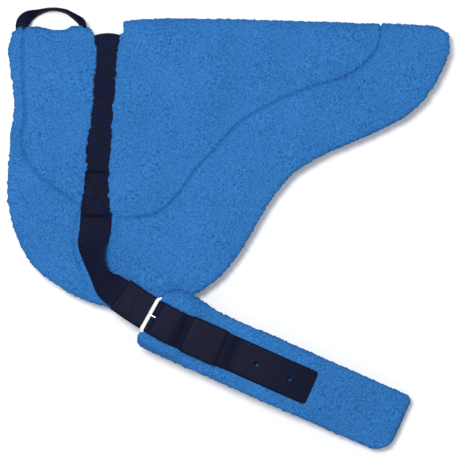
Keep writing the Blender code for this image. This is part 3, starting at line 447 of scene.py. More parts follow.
@dataclass(frozen=True)
class Swelling:
    """Cloth that swells under pressure between the places where it is sewn down.

    The pressure blows it up for some frames, each in quality steps, and no vertex moves past the cap.
    """

    cap: float
    pressure: float = 4.0
    mass: float = 0.4
    stretch: float = 12.0
    shear: float = 4.0
    quality: int = 4
    frames: int = 18

    def add_cloth(self, item: bpy.types.Object, sewn: str) -> None:
        """Give an object the cloth modifier, pinned by a vertex group.

        Args:
            item: the object that swells.
            sewn: the group of vertices that stay in place.
        """
        cloth = item.modifiers.new("cloth", "CLOTH")
        settings = cloth.settings
        settings.quality = self.quality
        settings.mass = self.mass
        settings.tension_stiffness = self.stretch
        settings.compression_stiffness = self.stretch
        settings.shear_stiffness = self.shear
        settings.use_pressure = True
        settings.uniform_pressure_force = self.pressure
        settings.vertex_group_mass = sewn
        settings.effector_weights.gravity = 0.0
        cloth.collision_settings.use_collision = False
        cloth.point_cache.frame_start = 1
        cloth.point_cache.frame_end = self.frames

    def apply(self, item: bpy.types.Object, held: np.ndarray) -> None:
        """Swell an object's cloth, and leave it as a plain mesh.

        Args:
            item: the object, whose mesh takes the swollen shape.
            held: true for each vertex that is sewn down.
        """
        rest = read_points(item.data)
        group = item.vertex_groups.new(name="sewn")
        group.add([int(index) for index in np.nonzero(held)[0]], 1.0, "REPLACE")
        self.add_cloth(item, group.name)
        for number in range(1, self.frames + 1):
            bpy.context.scene.frame_set(number)
        evaluated = item.evaluated_get(bpy.context.evaluated_depsgraph_get())
        moved = read_points(evaluated.data) - rest
        item.modifiers.clear()
        item.vertex_groups.clear()
        bpy.context.scene.frame_set(1)
        length = np.linalg.norm(moved, axis=1)
        share = self.cap * np.tanh(length / self.cap) / np.maximum(length, 1e-9)
        write_points(item.data, rest + moved * share[:, None])
        LOG.info("%s swelled by up to %.1f mm", item.name, float((length * share).max()) / MM)


def refine(item: bpy.types.Object, outer: Callable[[np.ndarray, np.ndarray], np.ndarray]) -> None:
    """Divide the faces that show into four.

    Args:
        item: the object.
        outer: tells from the faces' middles and normals which of them show.
    """
    with mesh_edit(item.data) as bm:
        middles = np.array([face.calc_center_median() for face in bm.faces])
        normals = np.array([face.normal for face in bm.faces])
        chosen = outer(middles, normals)
        edges = {edge for face, picked in zip(bm.faces, chosen) if picked for edge in face.edges}
        bmesh.ops.subdivide_edges(bm, edges=list(edges), cuts=1, use_grid_fill=True, smooth=0.0)


def relax(item: bpy.types.Object, rounds: int) -> None:
    """Even out an object's surface a little."""
    with mesh_edit(item.data) as bm:
        for _ in range(rounds):
            bmesh.ops.smooth_vert(bm, verts=bm.verts, factor=0.5, use_axis_x=True, use_axis_y=True,
                                  use_axis_z=True)


def shade_smooth(mesh: bpy.types.Mesh) -> None:
    """Shade every face of a mesh smoothly."""
    mesh.polygons.foreach_set("use_smooth", [True] * len(mesh.polygons))
    mesh.update()


@dataclass(frozen=True)
class Tufts:
    """Loose tufts of pile that reach over a seam or over a strap's edge.

    Tufts stand about a size apart, have a radius of spread sizes, and are least times the reach long or
    longer. The seed picks the field of tufts, as it does for other pile.
    """

    size: float
    reach: float
    spread: float
    least: float
    seed: int

    def at(self, points: np.ndarray) -> np.ndarray:
        """How far the tufts reach at each point."""
        apart, own = curls(points, self.size, self.seed)
        return self.reach * np.clip(1.0 - apart / self.spread, 0.0, 1.0) * (self.least + own)


@dataclass(frozen=True)
class Pile:
    """Curly fleece pile.

    Curls and the finer strands stand their own distances apart and have their own heights. They wander
    off their places by a distance, over a length.
    """

    curl: float = 8.0 * MM
    height: float = 1.3 * MM
    strand: float = 3.0 * MM
    strand_height: float = 2.0 * MM
    seed: int = 11
    wander: float = 1.5 * MM
    wander_length: float = 6.0 * MM

    def lift(self, points: np.ndarray) -> np.ndarray:
        """Height of the pile over its backing's usual level at each point."""
        wander = self.wander * np.sin(points[:, [1, 2, 0]] / self.wander_length)
        wide, own = curls(points + wander, self.curl, self.seed)
        fine, twist = curls(points - wander, self.strand, self.seed + 5)
        clump = np.clip(1.0 - (wide / 0.80) ** 2, 0.0, 1.0) * (0.55 + 0.9 * own) * self.height
        strand = np.clip(1.0 - fine / 0.75, 0.0, 1.0) * (0.5 + twist) * self.strand_height
        return clump + strand - 0.35 * self.height


@dataclass
class Strap:
    """A flat strap swept along a route, with its width across and its run along in its UVs.

    Attributes:
        name: the strap's name.
        route: the middle of the strap.
        width: its width.
        thickness: its thickness.
        turns: how far each point of the route raises the strap's left edge, in radians.
        rib: the distance between cross ribs, or zero for a smooth strap.
        rib_height: how far the ribs stand out.
        spacing: the length of one row of faces.
        columns: the number of faces across.
        tip: the radius of the far end's corners.
        across: the direction that the width keeps to, where it isn't level.
    """

    name: str
    route: Sequence[Vector]
    width: float
    thickness: float
    turns: Sequence[float] = ()
    rib: float = 0.0
    rib_height: float = 0.0
    spacing: float = 2.0 * MM
    columns: int = 14
    tip: float = 0.0
    across: Vector | None = None

    def frames(self) -> list[tuple[Vector, Vector, Vector, float]]:
        """Places along the strap, each with the directions of its width and face and its distance."""
        places, at, run = even_steps(self.route, self.spacing, 2)
        turns = np.interp(at, run, self.turns) if len(self.turns) else np.zeros(len(at))
        result = []
        for place, turn, reach, tangent in zip(places, turns, at, np.gradient(places, axis=0)):
            run = Vector(tangent).normalized()
            side = run.cross(UP)
            if self.across is not None:
                side = self.across - run * self.across.dot(run)
            side.normalize()
            up = side.cross(run)
            across = side * math.cos(turn) - up * math.sin(turn)
            result.append((Vector(place), across, across.cross(run), float(reach)))
        return result

    def line(self, offset: float, height: float) -> list[Vector]:
        """A line along the strap at an offset across it and a height over its middle."""
        return [place + across * offset + out * height for place, across, out, _ in self.frames()]

    def section(self, reach: float, total: float) -> list[tuple[float, float]]:
        """Closed outline of the strap across its run at a distance along it.

        Args:
            reach: the distance along the strap.
            total: the strap's length.

        Returns:
            Pairs of a place across the strap and a height over its middle.
        """
        half = self.width / 2
        if self.tip and total - reach < self.tip:
            inward = self.tip - (total - reach)
            half -= self.tip - math.sqrt(max(self.tip ** 2 - inward ** 2, 0.0))
        rib = self.rib_height * math.cos(2 * math.pi * reach / self.rib) if self.rib else 0.0
        level = self.thickness / 2 + rib / 2
        across = [half * (2 * step / self.columns - 1) for step in range(self.columns + 1)]
        soft = [level * (1.0 - 0.45 * max(abs(place) / half - 0.94, 0.0) / 0.06) for place in across]
        top = list(zip(across, soft))
        return [*top, (half + 0.3 * self.thickness, 0.0), *[(place, -h) for place, h in reversed(top)],
                (-half - 0.3 * self.thickness, 0.0)]

    def build(self) -> bpy.types.Object:
        """Make the strap's mesh.

        Returns:
            The strap as a new object with a closed mesh.
        """
        frames = self.frames()
        total = frames[-1][3]
        verts, uvs = [], []
        for place, across, out, reach in frames:
            for offset, height in self.section(reach, total):
                verts.append(place + across * offset + out * height)
                uvs.append((offset, reach))
        ring = len(self.section(0.0, 1.0))
        faces = [tuple(range(ring - 1, -1, -1))]
        for row in range(len(frames) - 1):
            faces += ring_faces(row * ring, (row + 1) * ring, ring)
        faces.append(tuple(range((len(frames) - 1) * ring, len(frames) * ring)))
        return mesh_with_uvs(self.name, verts, faces, uvs)


def ring_faces(first: int, second: int, sides: int, shift: int = 0) -> list[tuple[int, ...]]:
    """Faces from one ring of vertices to another.

    Args:
        first: the first vertex of the one ring.
        second: the first vertex of the other.
        sides: the number of vertices in each.
        shift: how many sides the other ring is turned.

    Returns:
        The faces, as numbers of vertices.
    """
    return [(first + step, first + (step + 1) % sides, second + (step + 1 + shift) % sides,
             second + (step + shift) % sides) for step in range(sides)]


def ring_points(middle: Vector, side: Vector, up: Vector, radius: float, sides: int) -> list[Vector]:
    """Points of a circle round a middle, from the side direction towards the up one."""
    turns = [2 * math.pi * step / sides for step in range(sides)]
    return [middle + (side * math.cos(turn) + up * math.sin(turn)) * radius for turn in turns]


def mesh_with_uvs(name: str, verts: Sequence[Vector], faces: Sequence[tuple],
                  uvs: Sequence[tuple]) -> bpy.types.Object:
    """Make an object from vertices, faces and one UV for each vertex.

    Args:
        name: the object's name.
        verts: the places of the vertices.
        faces: each face's vertices by number.
        uvs: the UV of each vertex.

    Returns:
        The new object.
    """
    mesh = bpy.data.meshes.new(name)
    mesh.from_pydata([tuple(vert) for vert in verts], [], faces)
    layer = mesh.uv_layers.new(name="strap")
    for loop in mesh.loops:
        layer.data[loop.index].uv = uvs[loop.vertex_index]
    with mesh_edit(mesh) as bm:
        bmesh.ops.recalc_face_normals(bm, faces=bm.faces)
    shade_smooth(mesh)
    return new_object(name, mesh)


def tube(name: str, route: Sequence[Vector], radii: Sequence[float], closed: bool,
         sides: int = 14) -> bpy.types.Object:
    """Make a round wire.

    Args:
        name: the wire's name.
        route: the wire's middle.
        radii: its radius at each point of the route.
        closed: whether the wire's ends meet.
        sides: the number of faces round it.

    Returns:
        The wire as a new object with a closed mesh.
    """
    count = len(route)
    verts, uvs = [], []
    normal = None
    for index, place in enumerate(route):
        before = route[(index - 1) % count] if closed or index else place
        after = route[(index + 1) % count] if closed or index < count - 1 else place
        run = (after - before).normalized()
        if normal is None:
            normal = run.orthogonal().normalized()
        normal = (normal - run * normal.dot(run)).normalized()
        verts += ring_points(place, normal, run.cross(normal), radii[index], sides)
        uvs += [(radii[index] * 2 * math.pi * step / sides, index * MM) for step in range(sides)]
    faces = []
    for index in range(count if closed else count - 1):
        base, after = index * sides, ((index + 1) % count) * sides
        shift = ring_shift(verts, base, after, sides) if closed and index == count - 1 else 0
        faces += ring_faces(base, after, sides, shift)
    if not closed:
        faces += [tuple(range(sides - 1, -1, -1)), tuple(range((count - 1) * sides, count * sides))]
    return mesh_with_uvs(name, verts, faces, uvs)


def ring_shift(verts: Sequence[Vector], last: int, first: int, sides: int) -> int:
    """How many sides the wire's last ring is turned from its first."""
    return min(range(sides), key=lambda shift: (verts[last] - verts[first + shift]).length)


def stitches(name: str, lines: Sequence[Sequence[Vector]], thread: "Thread") -> bpy.types.Object:
    """Lay a row of stitches along each line.

    Args:
        name: the object's name.
        lines: the lines that the needle follows, at the cloth's surface.
        thread: the thread and its stitch length.

    Returns:
        All the stitches as one object.
    """
    verts, faces = [], []
    for line in lines:
        for start, end in itertools.pairwise(even_points(line, thread.stitch)):
            run = end - start
            first, last = start + run * thread.gap_share, end - run * thread.gap_share
            middle = (first + last) / 2 + UP * thread.lift
            add_stitch(verts, faces, (first, middle, last), thread.radius)
    return mesh_with_uvs(name, verts, faces, [(0.0, 0.0)] * len(verts))


def add_stitch(verts: list, faces: list, spots: Sequence[Vector], radius: float) -> None:
    """Add one stitch of thread, a short bent rod with narrow ends, to growing lists.

    Args:
        verts: the list that the stitch's vertices are added to.
        faces: the list that its faces are added to.
        spots: the start, middle and end of the stitch.
        radius: half its thickness in the middle.
    """
    sides, base = 6, len(verts)
    run = (spots[-1] - spots[0]).normalized()
    side = run.cross(UP).normalized()
    for spot, share in zip(spots, (0.5, 1.0, 0.5)):
        verts += ring_points(spot, side, side.cross(run), radius * share, sides)
    for row in range(2):
        faces += ring_faces(base + row * sides, base + (row + 1) * sides, sides)
    faces.append(tuple(range(base + sides - 1, base - 1, -1)))
    faces.append(tuple(range(base + 2 * sides, base + 3 * sides)))


# Finishes


def linear(code: str) -> tuple[float, float, float, float]:
    """Turn an sRGB hex colour into Blender's linear colour."""
    values = [int(code[start:start + 2], 16) / 255 for start in (1, 3, 5)]
    return (*[value / 12.92 if value <= 0.04045 else ((value + 0.055) / 1.055) ** 2.4
              for value in values], 1.0)


def add_node(tree: bpy.types.NodeTree, kind: str, settings: dict | None = None,
             values: dict | None = None, links: dict | None = None) -> bpy.types.Node:
    """Add a node with its settings and links.

    Args:
        tree: the node tree.
        kind: the node's Blender type.
        settings: attributes of the node.
        values: numbers or colours of its inputs, by name or index.
        links: sockets that feed its inputs, by name or index.

    Returns:
        The new node.
    """
    item = tree.nodes.new(kind)
    for name, value in (settings or {}).items():
        setattr(item, name, value)
    for name, value in (values or {}).items():
        item.inputs[name].default_value = value
    for name, socket in (links or {}).items():
        tree.links.new(socket, item.inputs[name])
    return item


def new_material(name: str) -> tuple[bpy.types.Material, bpy.types.NodeTree, bpy.types.Node]:
    """Make an empty Principled material and hand back its tree and shader."""
    material = bpy.data.materials.new(name)
    material.use_nodes = True
    tree = material.node_tree
    return material, tree, tree.nodes["Principled BSDF"]


def ramp(tree: bpy.types.NodeTree, source: bpy.types.NodeSocket,
         stops: Sequence[tuple[float, str]]) -> bpy.types.Node:
    """Colour a value by hex colours at its stops.

    Args:
        tree: the node tree.
        source: the socket that gives the value.
        stops: pairs of a value and its sRGB hex colour.

    Returns:
        The colour ramp's node.
    """
    item = add_node(tree, "ShaderNodeValToRGB", links={0: source})
    elements = item.color_ramp.elements
    while len(elements) < len(stops):
        elements.new(1.0)
    for element, (place, code) in zip(elements, stops):
        element.position = place
        element.color = linear(code)
    return item


def calc(tree: bpy.types.NodeTree, operation: str, *terms: bpy.types.NodeSocket | float,
         clamp: bool = False) -> bpy.types.NodeSocket:
    """Add a sum on sockets and numbers.

    Args:
        tree: the node tree.
        operation: the sum's Blender name.
        terms: what it works on, in order.
        clamp: whether its result is kept from 0 to 1.

    Returns:
        The socket of the result.
    """
    item = add_node(tree, "ShaderNodeMath", {"operation": operation, "use_clamp": clamp})
    for socket, term in zip(item.inputs, terms):
        if isinstance(term, bpy.types.NodeSocket):
            tree.links.new(term, socket)
        else:
            socket.default_value = term
    return item.outputs[0]


def weigh(tree: bpy.types.NodeTree, sockets: Iterable[bpy.types.NodeSocket],
          weights: Iterable[float]) -> bpy.types.NodeSocket:
    """Add up patterns, each times its weight."""
    total = 0.0
    for socket, weight in zip(sockets, weights):
        total = calc(tree, "MULTIPLY_ADD", socket, weight, total)
    return total


def grain(tree: bpy.types.NodeTree, place: bpy.types.NodeSocket, size: float, detail: float,
          roughness: float = 0.5) -> bpy.types.Node:
    """Add noise whose grains are about a size long."""
    return add_node(tree, "ShaderNodeTexNoise", values={
        "Scale": 1 / size, "Detail": detail, "Roughness": roughness}, links={"Vector": place})


def coat(tree: bpy.types.NodeTree, shader: bpy.types.Node, colour: bpy.types.Node,
         height: bpy.types.NodeSocket, relief: tuple[float, float], values: dict) -> None:
    """Give a shader its colour, its relief and its other values.

    Args:
        tree: the node tree.
        shader: the Principled shader.
        colour: the node whose colour it takes.
        height: the pattern that stands out.
        relief: the strength and the depth of the relief.
        values: the shader's other inputs.
    """
    bump = add_node(tree, "ShaderNodeBump", {}, {"Strength": relief[0], "Distance": relief[1]},
                    {"Height": height})
    tree.links.new(colour.outputs["Color"], shader.inputs["Base Color"])
    tree.links.new(bump.outputs["Normal"], shader.inputs["Normal"])
    for name, value in values.items():
        shader.inputs[name].default_value = value


@dataclass(frozen=True)
class FleeceFinish:
    """Acrylic curly fleece: a matt nap of brushed fibre, with dark flecks of painted shade where the curls
    part.

    The nap's strokes have a width and a length, and lie in the heading. Soft shades turn them by the
    swirl. The stops and weights are those of shaded root, body and tip, and of nap, shade flecks and
    shades. The colour follows the relief, with random mottling: the root colour is painted shade in the
    pile's hollows, and the tip colour is painted light on the tops of the nap. The relief has a strength
    and a depth.
    """

    name: str = "acrylic_curly_fleece"
    tip: str = "#3E82C9"
    body: str = "#2C6EB2"
    shaded_root: str = "#185291"
    nap: tuple = (1.8 * MM, 3.4 * MM)
    shade_fleck: float = 2.8 * MM
    shade: float = 60.0 * MM
    swirl: float = 22 * MM
    heading: float = math.radians(38)
    stops: tuple = (0.37, 0.46, 0.60)
    weights: tuple = (0.48, 0.45, 0.07)
    relief: tuple = (0.7, 1.4 * MM)

    def make(self) -> bpy.types.Material:
        """Make the material."""
        material, tree, shader = new_material(self.name)
        place = add_node(tree, "ShaderNodeTexCoord").outputs["Object"]
        shade = grain(tree, place, self.shade, 1.0)
        bent = add_node(tree, "ShaderNodeMixRGB", {"blend_type": "LINEAR_LIGHT"}, {"Fac": self.swirl},
                        {"Color1": place, "Color2": shade.outputs["Color"]}).outputs["Color"]
        across, along = self.nap
        turned = add_node(tree, "ShaderNodeMapping", {"vector_type": "TEXTURE"},
                          {"Rotation": (0.0, 0.0, self.heading), "Scale": (along, across, across)},
                          {"Vector": bent}).outputs["Vector"]
        patterns = (grain(tree, turned, 1.0, 3.0, 0.62), grain(tree, bent, self.shade_fleck, 2.0), shade)
        depth = weigh(tree, [pattern.outputs["Fac"] for pattern in patterns], self.weights)
        # Painted shade and light: the low parts of the relief take the shaded root colour, and the high
        # parts take the lighter tip colour.
        colour = ramp(tree, depth, list(zip(self.stops, (self.shaded_root, self.body, self.tip))))
        coat(tree, shader, colour, depth, self.relief, {
            "Roughness": 0.95, "Specular IOR Level": 0.10, "Sheen Weight": 0.12, "Sheen Roughness": 0.6,
            "Sheen Tint": linear(self.tip)})
        return material


@dataclass(frozen=True)
class WovenFinish:
    """Woven polypropylene or nylon strap: a matt dark weave whose cross ribs catch the light.

    The rib is the distance between its cross ribs, and the pick that between the threads along it. The
    stops are those of the shaded ground and the thread. The colour follows the weave's relief, with random
    mottling: the ground is painted shade in its hollows, and the thread is painted light on its ribs. The
    weights are those of ribs, threads and noise.
    """

    name: str
    shaded_ground: str
    thread: str
    rib: float
    pick: float = 1.3 * MM
    depth: float = 0.35 * MM
    roughness: float = 0.62
    stops: tuple = (0.34, 0.68)
    weights: tuple = (0.50, 0.10, 0.40)

    def make(self) -> bpy.types.Material:
        """Make the material."""
        material, tree, shader = new_material(self.name)
        place = add_node(tree, "ShaderNodeUVMap", {"uv_map": "strap"}).outputs["UV"]
        split = add_node(tree, "ShaderNodeSeparateXYZ", links={0: place})
        along = self.wave(tree, split.outputs["Y"], self.rib)
        across = self.wave(tree, split.outputs["X"], self.pick)
        noise = grain(tree, place, 2.2 * self.pick, 3.0).outputs["Fac"]
        weave = weigh(tree, (along, across, noise), self.weights)
        # Painted shade and light: the weave's hollows take the dark ground colour, and its ribs and threads
        # take the lighter thread colour.
        colour = ramp(tree, weave, list(zip(self.stops, (self.shaded_ground, self.thread))))
        coat(tree, shader, colour, weave, (0.6, self.depth), {
            "Roughness": self.roughness, "Specular IOR Level": 0.06})
        return material

    @staticmethod
    def wave(tree: bpy.types.NodeTree, source: bpy.types.NodeSocket, pitch: float) -> bpy.types.NodeSocket:
        """A wave from 0 to 1 over a distance, one for each pitch."""
        turn = calc(tree, "MULTIPLY", source, 2 * math.pi / pitch)
        return calc(tree, "MULTIPLY_ADD", calc(tree, "COSINE", turn), 0.5, 0.5)


@dataclass(frozen=True)
class PlainFinish:
    """A finish of one colour with a fine grain: thread or metal.

    The grain is as long, and as deep, as it says. The specular value is the strength of highlights.
    """

    name: str
    light: str
    dark: str
    grain: float
    roughness: float
    metallic: float = 0.0
    depth: float = 0.05 * MM
    specular: float = 0.5

    def make(self) -> bpy.types.Material:
        """Make the material."""
        material, tree, shader = new_material(self.name)
        place = add_node(tree, "ShaderNodeTexCoord").outputs["Object"]
        noise = grain(tree, place, self.grain, 3.0).outputs["Fac"]
        colour = ramp(tree, noise, ((0.3, self.dark), (0.7, self.light)))
        coat(tree, shader, colour, noise, (0.3, self.depth), {
            "Roughness": self.roughness, "Metallic": self.metallic, "Specular IOR Level": self.specular})
        return material


@dataclass(frozen=True)
class Thread:
    """Bonded nylon thread and the stitch that it is sewn in.

    Attributes:
        radius: the thread's radius.
        stitch: the stitch's length.
        lift: how far the middle of a stitch stands up.
        gap_share: the share of a stitch that is sunk at each of its ends.
    """

    radius: float = 0.45 * MM
    stitch: float = 3.4 * MM
    lift: float = 0.25 * MM
    gap_share: float = 0.12


def made(finish: FleeceFinish | WovenFinish | PlainFinish) -> bpy.types.Material:
    """A field that is filled with the finish's material."""
    return field(default_factory=finish.make)


@dataclass
class Finishes:
    """All the finishes of the pad, made once.

    The fleece is acrylic curly pile, knitted and brushed. The webs are ribbed polypropylene, woven
    with heavy cross ribs. The billets, keepers and chapes are flat-woven nylon, so nearly smooth. The
    buckles are chrome-plated steel wire, polished, which mirrors the white studio.
    """

    fleece: bpy.types.Material = made(FleeceFinish())
    # In each weave, the first colour is painted shade in its hollows and the second is painted light on its
    # ribs.
    web: bpy.types.Material = made(WovenFinish(
        "ribbed_polypropylene_web", "#020307", "#1C2142", PadPlan.rib))
    strap: bpy.types.Material = made(WovenFinish(
        "flat_woven_nylon_strap", "#090B1B", "#161A35", 1.5 * MM, 1.5 * MM, 0.12 * MM, 0.5))
    thread: bpy.types.Material = made(PlainFinish(
        "bonded_nylon_thread", "#07080F", "#030306", 0.8 * MM, 0.9, specular=0.04))
    quilting: bpy.types.Material = made(PlainFinish(
        "blue_quilting_thread", "#2A62A5", "#1F5192", 1.0 * MM, 0.9))
    # The lining's darkest colour is painted shade in its short pile's hollows, as on the fleece.
    lining: bpy.types.Material = made(FleeceFinish(
        "short_pile_lining", "#4084CB", "#2E6FB3", "#1C5797", (1.6 * MM, 3.4 * MM), 2.6 * MM))
    chrome: bpy.types.Material = made(PlainFinish(
        "chrome_plated_steel", "#F6F7F8", "#E6E9EC", 4.0 * MM, 0.16, 1.0, 0.01 * MM))


def dress(item: bpy.types.Object, material: bpy.types.Material,
          replaces: Sequence[str] = ()) -> bpy.types.Object:
    """Give a piece its finish, and hide the CAD nodes that it stands for.

    Args:
        item: the piece.
        material: its finish.
        replaces: the CAD nodes that it stands for.

    Returns:
        The same piece.
    """
    item.data.materials.clear()
    item.data.materials.append(material)
    shade_smooth(item.data)
    if replaces:
        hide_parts(*replaces)
    LOG.info("%s has %d faces", item.name, len(item.data.polygons))
    return item


@dataclass
class Part:
    """A sub-assembly of the pad.

    Attributes:
        plan: the pad's plan, heights and straps.
        girth: the girth's place, slopes and layers.
        finishes: the finishes.
    """

    plan: PadPlan
    girth: GirthPlan
    finishes: Finishes


# The pad


def extrude(bm: bmesh.types.BMesh, outline: Sequence[Sequence[float]], way: Sequence[float]) -> None:
    """Add a flat outline, drawn out along a way, to a mesh in the making."""
    face = bm.faces.new([bm.verts.new(point) for point in outline])
    drawn = bmesh.ops.extrude_face_region(bm, geom=[face])["geom"]
    moved = [part for part in drawn if isinstance(part, bmesh.types.BMVert)]
    bmesh.ops.translate(bm, vec=way, verts=moved)


def slab(bm: bmesh.types.BMesh, outline: Sequence[Vector], low: float, high: float) -> None:
    """Add a flat outline, raised from one height to another, to a mesh in the making."""
    extrude(bm, [(point.x, point.y, low) for point in outline], (0.0, 0.0, high - low))


def half_disc(bm: bmesh.types.BMesh, span: tuple[float, float], centre: tuple[float, float],
              outer: tuple[float, float], inner: tuple[float, float] | None = None) -> None:
    """Add half a ring, bulging along Y, to a mesh in the making.

    Args:
        bm: the mesh.
        span: its ends along X.
        centre: Y and Z of its middle.
        outer: its outer radii along Y and Z.
        inner: its inner radii, or none for a full half disc.
    """
    steps = 16
    turns = [math.pi * (step / steps - 0.5) for step in range(steps + 1)]
    rim = [(centre[0] + outer[0] * math.cos(turn), centre[1] + outer[1] * math.sin(turn)) for turn in turns]
    if inner:
        rim += [(centre[0] + inner[0] * math.cos(turn), centre[1] + inner[1] * math.sin(turn))
                for turn in reversed(turns)]
    extrude(bm, [(span[0], y, z) for y, z in rim], (span[1] - span[0], 0.0, 0.0))


def finish_solid(name: str, bm: bmesh.types.BMesh, voxel: float) -> bpy.types.Object:
    """Turn a mesh in the making into one even closed skin."""
    bmesh.ops.recalc_face_normals(bm, faces=bm.faces)
    item = new_object(name, mesh_of(name, bm))
    remesh(item, voxel)
    item.data.name = name
    return item


@dataclass
class FoldedPad(Part):
    """The two padded halves of the pad, folded on the spine that joins them.

    Attributes:
        voxel: size of the skin's squares before they are divided.
        rim: radius of the rims, which starts at a share of the half height.
        thread: the quilting seam's thread and stitch.
        thread_rise: how far the thread lies over its groove.
        lining_groove: depth and width of the seam in the linings.
        lining_flat: how far the horse's side of a lining is pressed flat.
        lining_band: how near the seam the linings' faces are divided once more.
        lining_inset: how far inside the outline and the crease's plane the linings end.
        lining_notch: how deep their opening for the surcingle is.
        spine_inset: how far the spine's lining lies inside the core, behind the crease, and inside
            the front and the rear end of each length.
        tufts: tufts that reach over the quilting seam.
        fringe: tufts that lean over the surcingle's edges, from a little outside them.
        slope: width of the pile's slope at a strap's edges.
        skin_margin: how far out of the core a face lies that shows.
        face_margin: how far out of the core the side's outer face starts.
        face_depth: how far under the outer face the panels are free to swell.
        face_band: how far under it the lines are divided once more.
        spine_low: height over the floor at which the spine starts to show.
        spine_out: how far behind the crease the spine's outline starts.
        seam_margin: how near a line the faces are divided once more.
        seam_bare: how far the seam lays the pile down, and how wide in its own widths.
        inner_rim: what the pile keeps of its height between the halves, and how far inside.
        off_channel: half width, slope and height of the channels for the off tug and billet.
        tug_reach: how far from the near tug the pile stands free, and the width of its slope.
        roll_margins: how far the spine's ends stay inside the pad's front and rear.
        roll_depths: how far the spine's front and rear lengths stand out.
        notch_shares: half widths of the surcingle's opening, at its mouth and bottom, in the web's.
        roll_shares: places along the pad, and how full the spine's roll lies there.
        bared_shares: places along the surcingle, with the widths left bare on either side.
    """

    voxel: float = 5.0 * MM
    crown: float = 4.0 * MM
    crown_reach: float = 60 * MM
    rim: float = 7.0 * MM
    rim_share: float = 0.70
    groove: float = 3.6 * MM
    groove_width: float = 2.2 * MM
    thread: Thread = Thread(0.45 * MM, 6.0 * MM, 0.1 * MM)
    thread_rise: float = 0.3 * MM
    lining_groove: tuple = (2.0 * MM, 3.0 * MM)
    lining_flat: float = 0.4 * MM
    lining_band: float = 8 * MM
    lining_inset: tuple = (1 * MM, 0.5 * MM)
    lining_notch: float = 13.5 * MM
    spine_inset: tuple = (1.0 * MM, 1.5 * MM, 2 * MM, 1 * MM)
    spine_voxel: float = 3.0 * MM
    pile: Pile = Pile()
    short_pile: Pile = Pile(5.0 * MM, 0.8 * MM, 2.6 * MM, 0.8 * MM, 23)
    tufts: Tufts = Tufts(5 * MM, 2.2 * MM, 0.7, 0.0, 57)
    fringe: Tufts = Tufts(9 * MM, 4.2 * MM, 0.8, 0.4, 41)
    fringe_back: float = 1.2 * MM
    slope: float = 2.0 * MM
    skin_margin: float = 1 * MM
    face_margin: float = 2 * MM
    face_depth: float = 2.5 * MM
    face_band: float = 3 * MM
    spine_low: float = 6 * MM
    spine_out: float = 8 * MM
    web_room: float = 0.6 * MM
    seam_margin: float = 6 * MM
    seam_bare: tuple = (0.75, 1.4)
    inner_rim: tuple = (0.15, 6 * MM)
    off_channel: tuple = (29 * MM, 2.5 * MM, 6.2 * MM)
    tug_room: float = 2.6 * MM
    tug_reach: tuple = (14.0 * MM, 10.0 * MM)
    roll_margins: tuple = (7 * MM, 3 * MM)
    roll_depths: tuple = (14 * MM, 23 * MM)
    notch_shares: tuple = (0.88, 0.74)
    roll_shares: tuple = (
        (0.010, 0.05), (0.014, 0.40), (0.020, 0.85), (0.034, 1.02), (0.070, 1.02), (0.085, 0.72),
        (0.110, 0.55), (0.128, 0.62), (0.142, 1.05), (0.165, 1.08), (0.180, 0.95), (0.190, 0.60),
        (0.262, 1.02), (0.300, 1.12), (0.370, 1.22), (0.520, 1.14), (0.670, 1.00), (0.800, 0.84),
        (0.870, 0.80), (0.925, 0.73), (0.962, 0.64), (0.975, 0.54), (0.985, 0.38), (0.992, 0.16),
        (0.996, 0.03),
    )
    bared_shares: tuple = (
        (-0.30, 0.95, 0.95), (-0.08, 0.87, 0.80), (0.00, 0.72, 0.74), (0.05, 0.65, 0.73),
        (0.16, 0.76, 0.74), (0.30, 0.74, 0.70), (0.45, 0.78, 0.66), (0.54, 0.98, 0.73),
        (0.68, 0.95, 0.62), (0.82, 0.92, 0.72), (0.92, 1.04, 0.84), (1.00, 1.04, 1.04),
        (1.20, 1.06, 1.06),
    )
    outline_shares: tuple = (
        (0.995, 0.0), (0.998, 0.014), (1.000, 0.048), (0.992, 0.093), (0.967, 0.179), (0.924, 0.265),
        (0.869, 0.323), (0.788, 0.381), (0.708, 0.438), (0.649, 0.496), (0.615, 0.553), (0.577, 0.640),
        (0.547, 0.726), (0.511, 0.813), (0.468, 0.888), (0.413, 0.944), (0.356, 0.986), (0.300, 1.0),
        (0.238, 0.986), (0.168, 0.951), (0.109, 0.899), (0.064, 0.842), (0.032, 0.770), (0.011, 0.683),
        (0.0, 0.589), (0.002, 0.453), (0.007, 0.352), (0.015, 0.258), (0.009, 0.165), (0.001, 0.070),
        (0.002, 0.038), (0.011, 0.0),
    )

    def outline(self, notch: float, inset: float = 0.0) -> list[Vector]:
        """Plan of one half, open for the folded surcingle.

        Args:
            notch: Y that the opening reaches down to.
            inset: how far the outline is drawn in.

        Returns:
            The outline's points, in order.
        """
        plan = self.plan
        points = smooth_points([plan.point(share).to_3d() for share in self.outline_shares], 4)
        middle = Vector((plan.front_x + plan.length * 0.4, plan.crease_y, 0.0))
        drawn = [point + (middle - point).normalized() * inset for point in points]
        drawn = [Vector((point.x, min(point.y, plan.crease_y))) for point in drawn]
        drawn[0].y = drawn[-1].y = plan.crease_y
        middle_x = plan.surcingle()[0].x
        wide, narrow = (plan.web_width / 2 * share for share in self.notch_shares)
        return [*drawn, Vector((middle_x - wide, plan.crease_y)), Vector((middle_x - narrow, notch)),
                Vector((middle_x + narrow, notch)), Vector((middle_x + wide, plan.crease_y))]

    def notch_span(self) -> tuple[float, float]:
        """Ends along X of the opening that the surcingle folds through."""
        middle = self.plan.surcingle()[0].x
        half = self.plan.web_width / 2 + self.plan.web_margin
        return middle - half, middle + half

    def roll_spans(self) -> list[tuple[float, float]]:
        """Ends along X of the spine's front and rear lengths."""
        low, high = self.notch_span()
        front, rear = self.roll_margins
        return [(self.plan.front_x + front, low), (high, self.plan.front_x + self.plan.length - rear)]

    def build(self) -> None:
        """Build the fleece cover, the padding of each half and the padded spine."""
        self.cover()
        for side in Side:
            self.padding(side)
        self.spine()

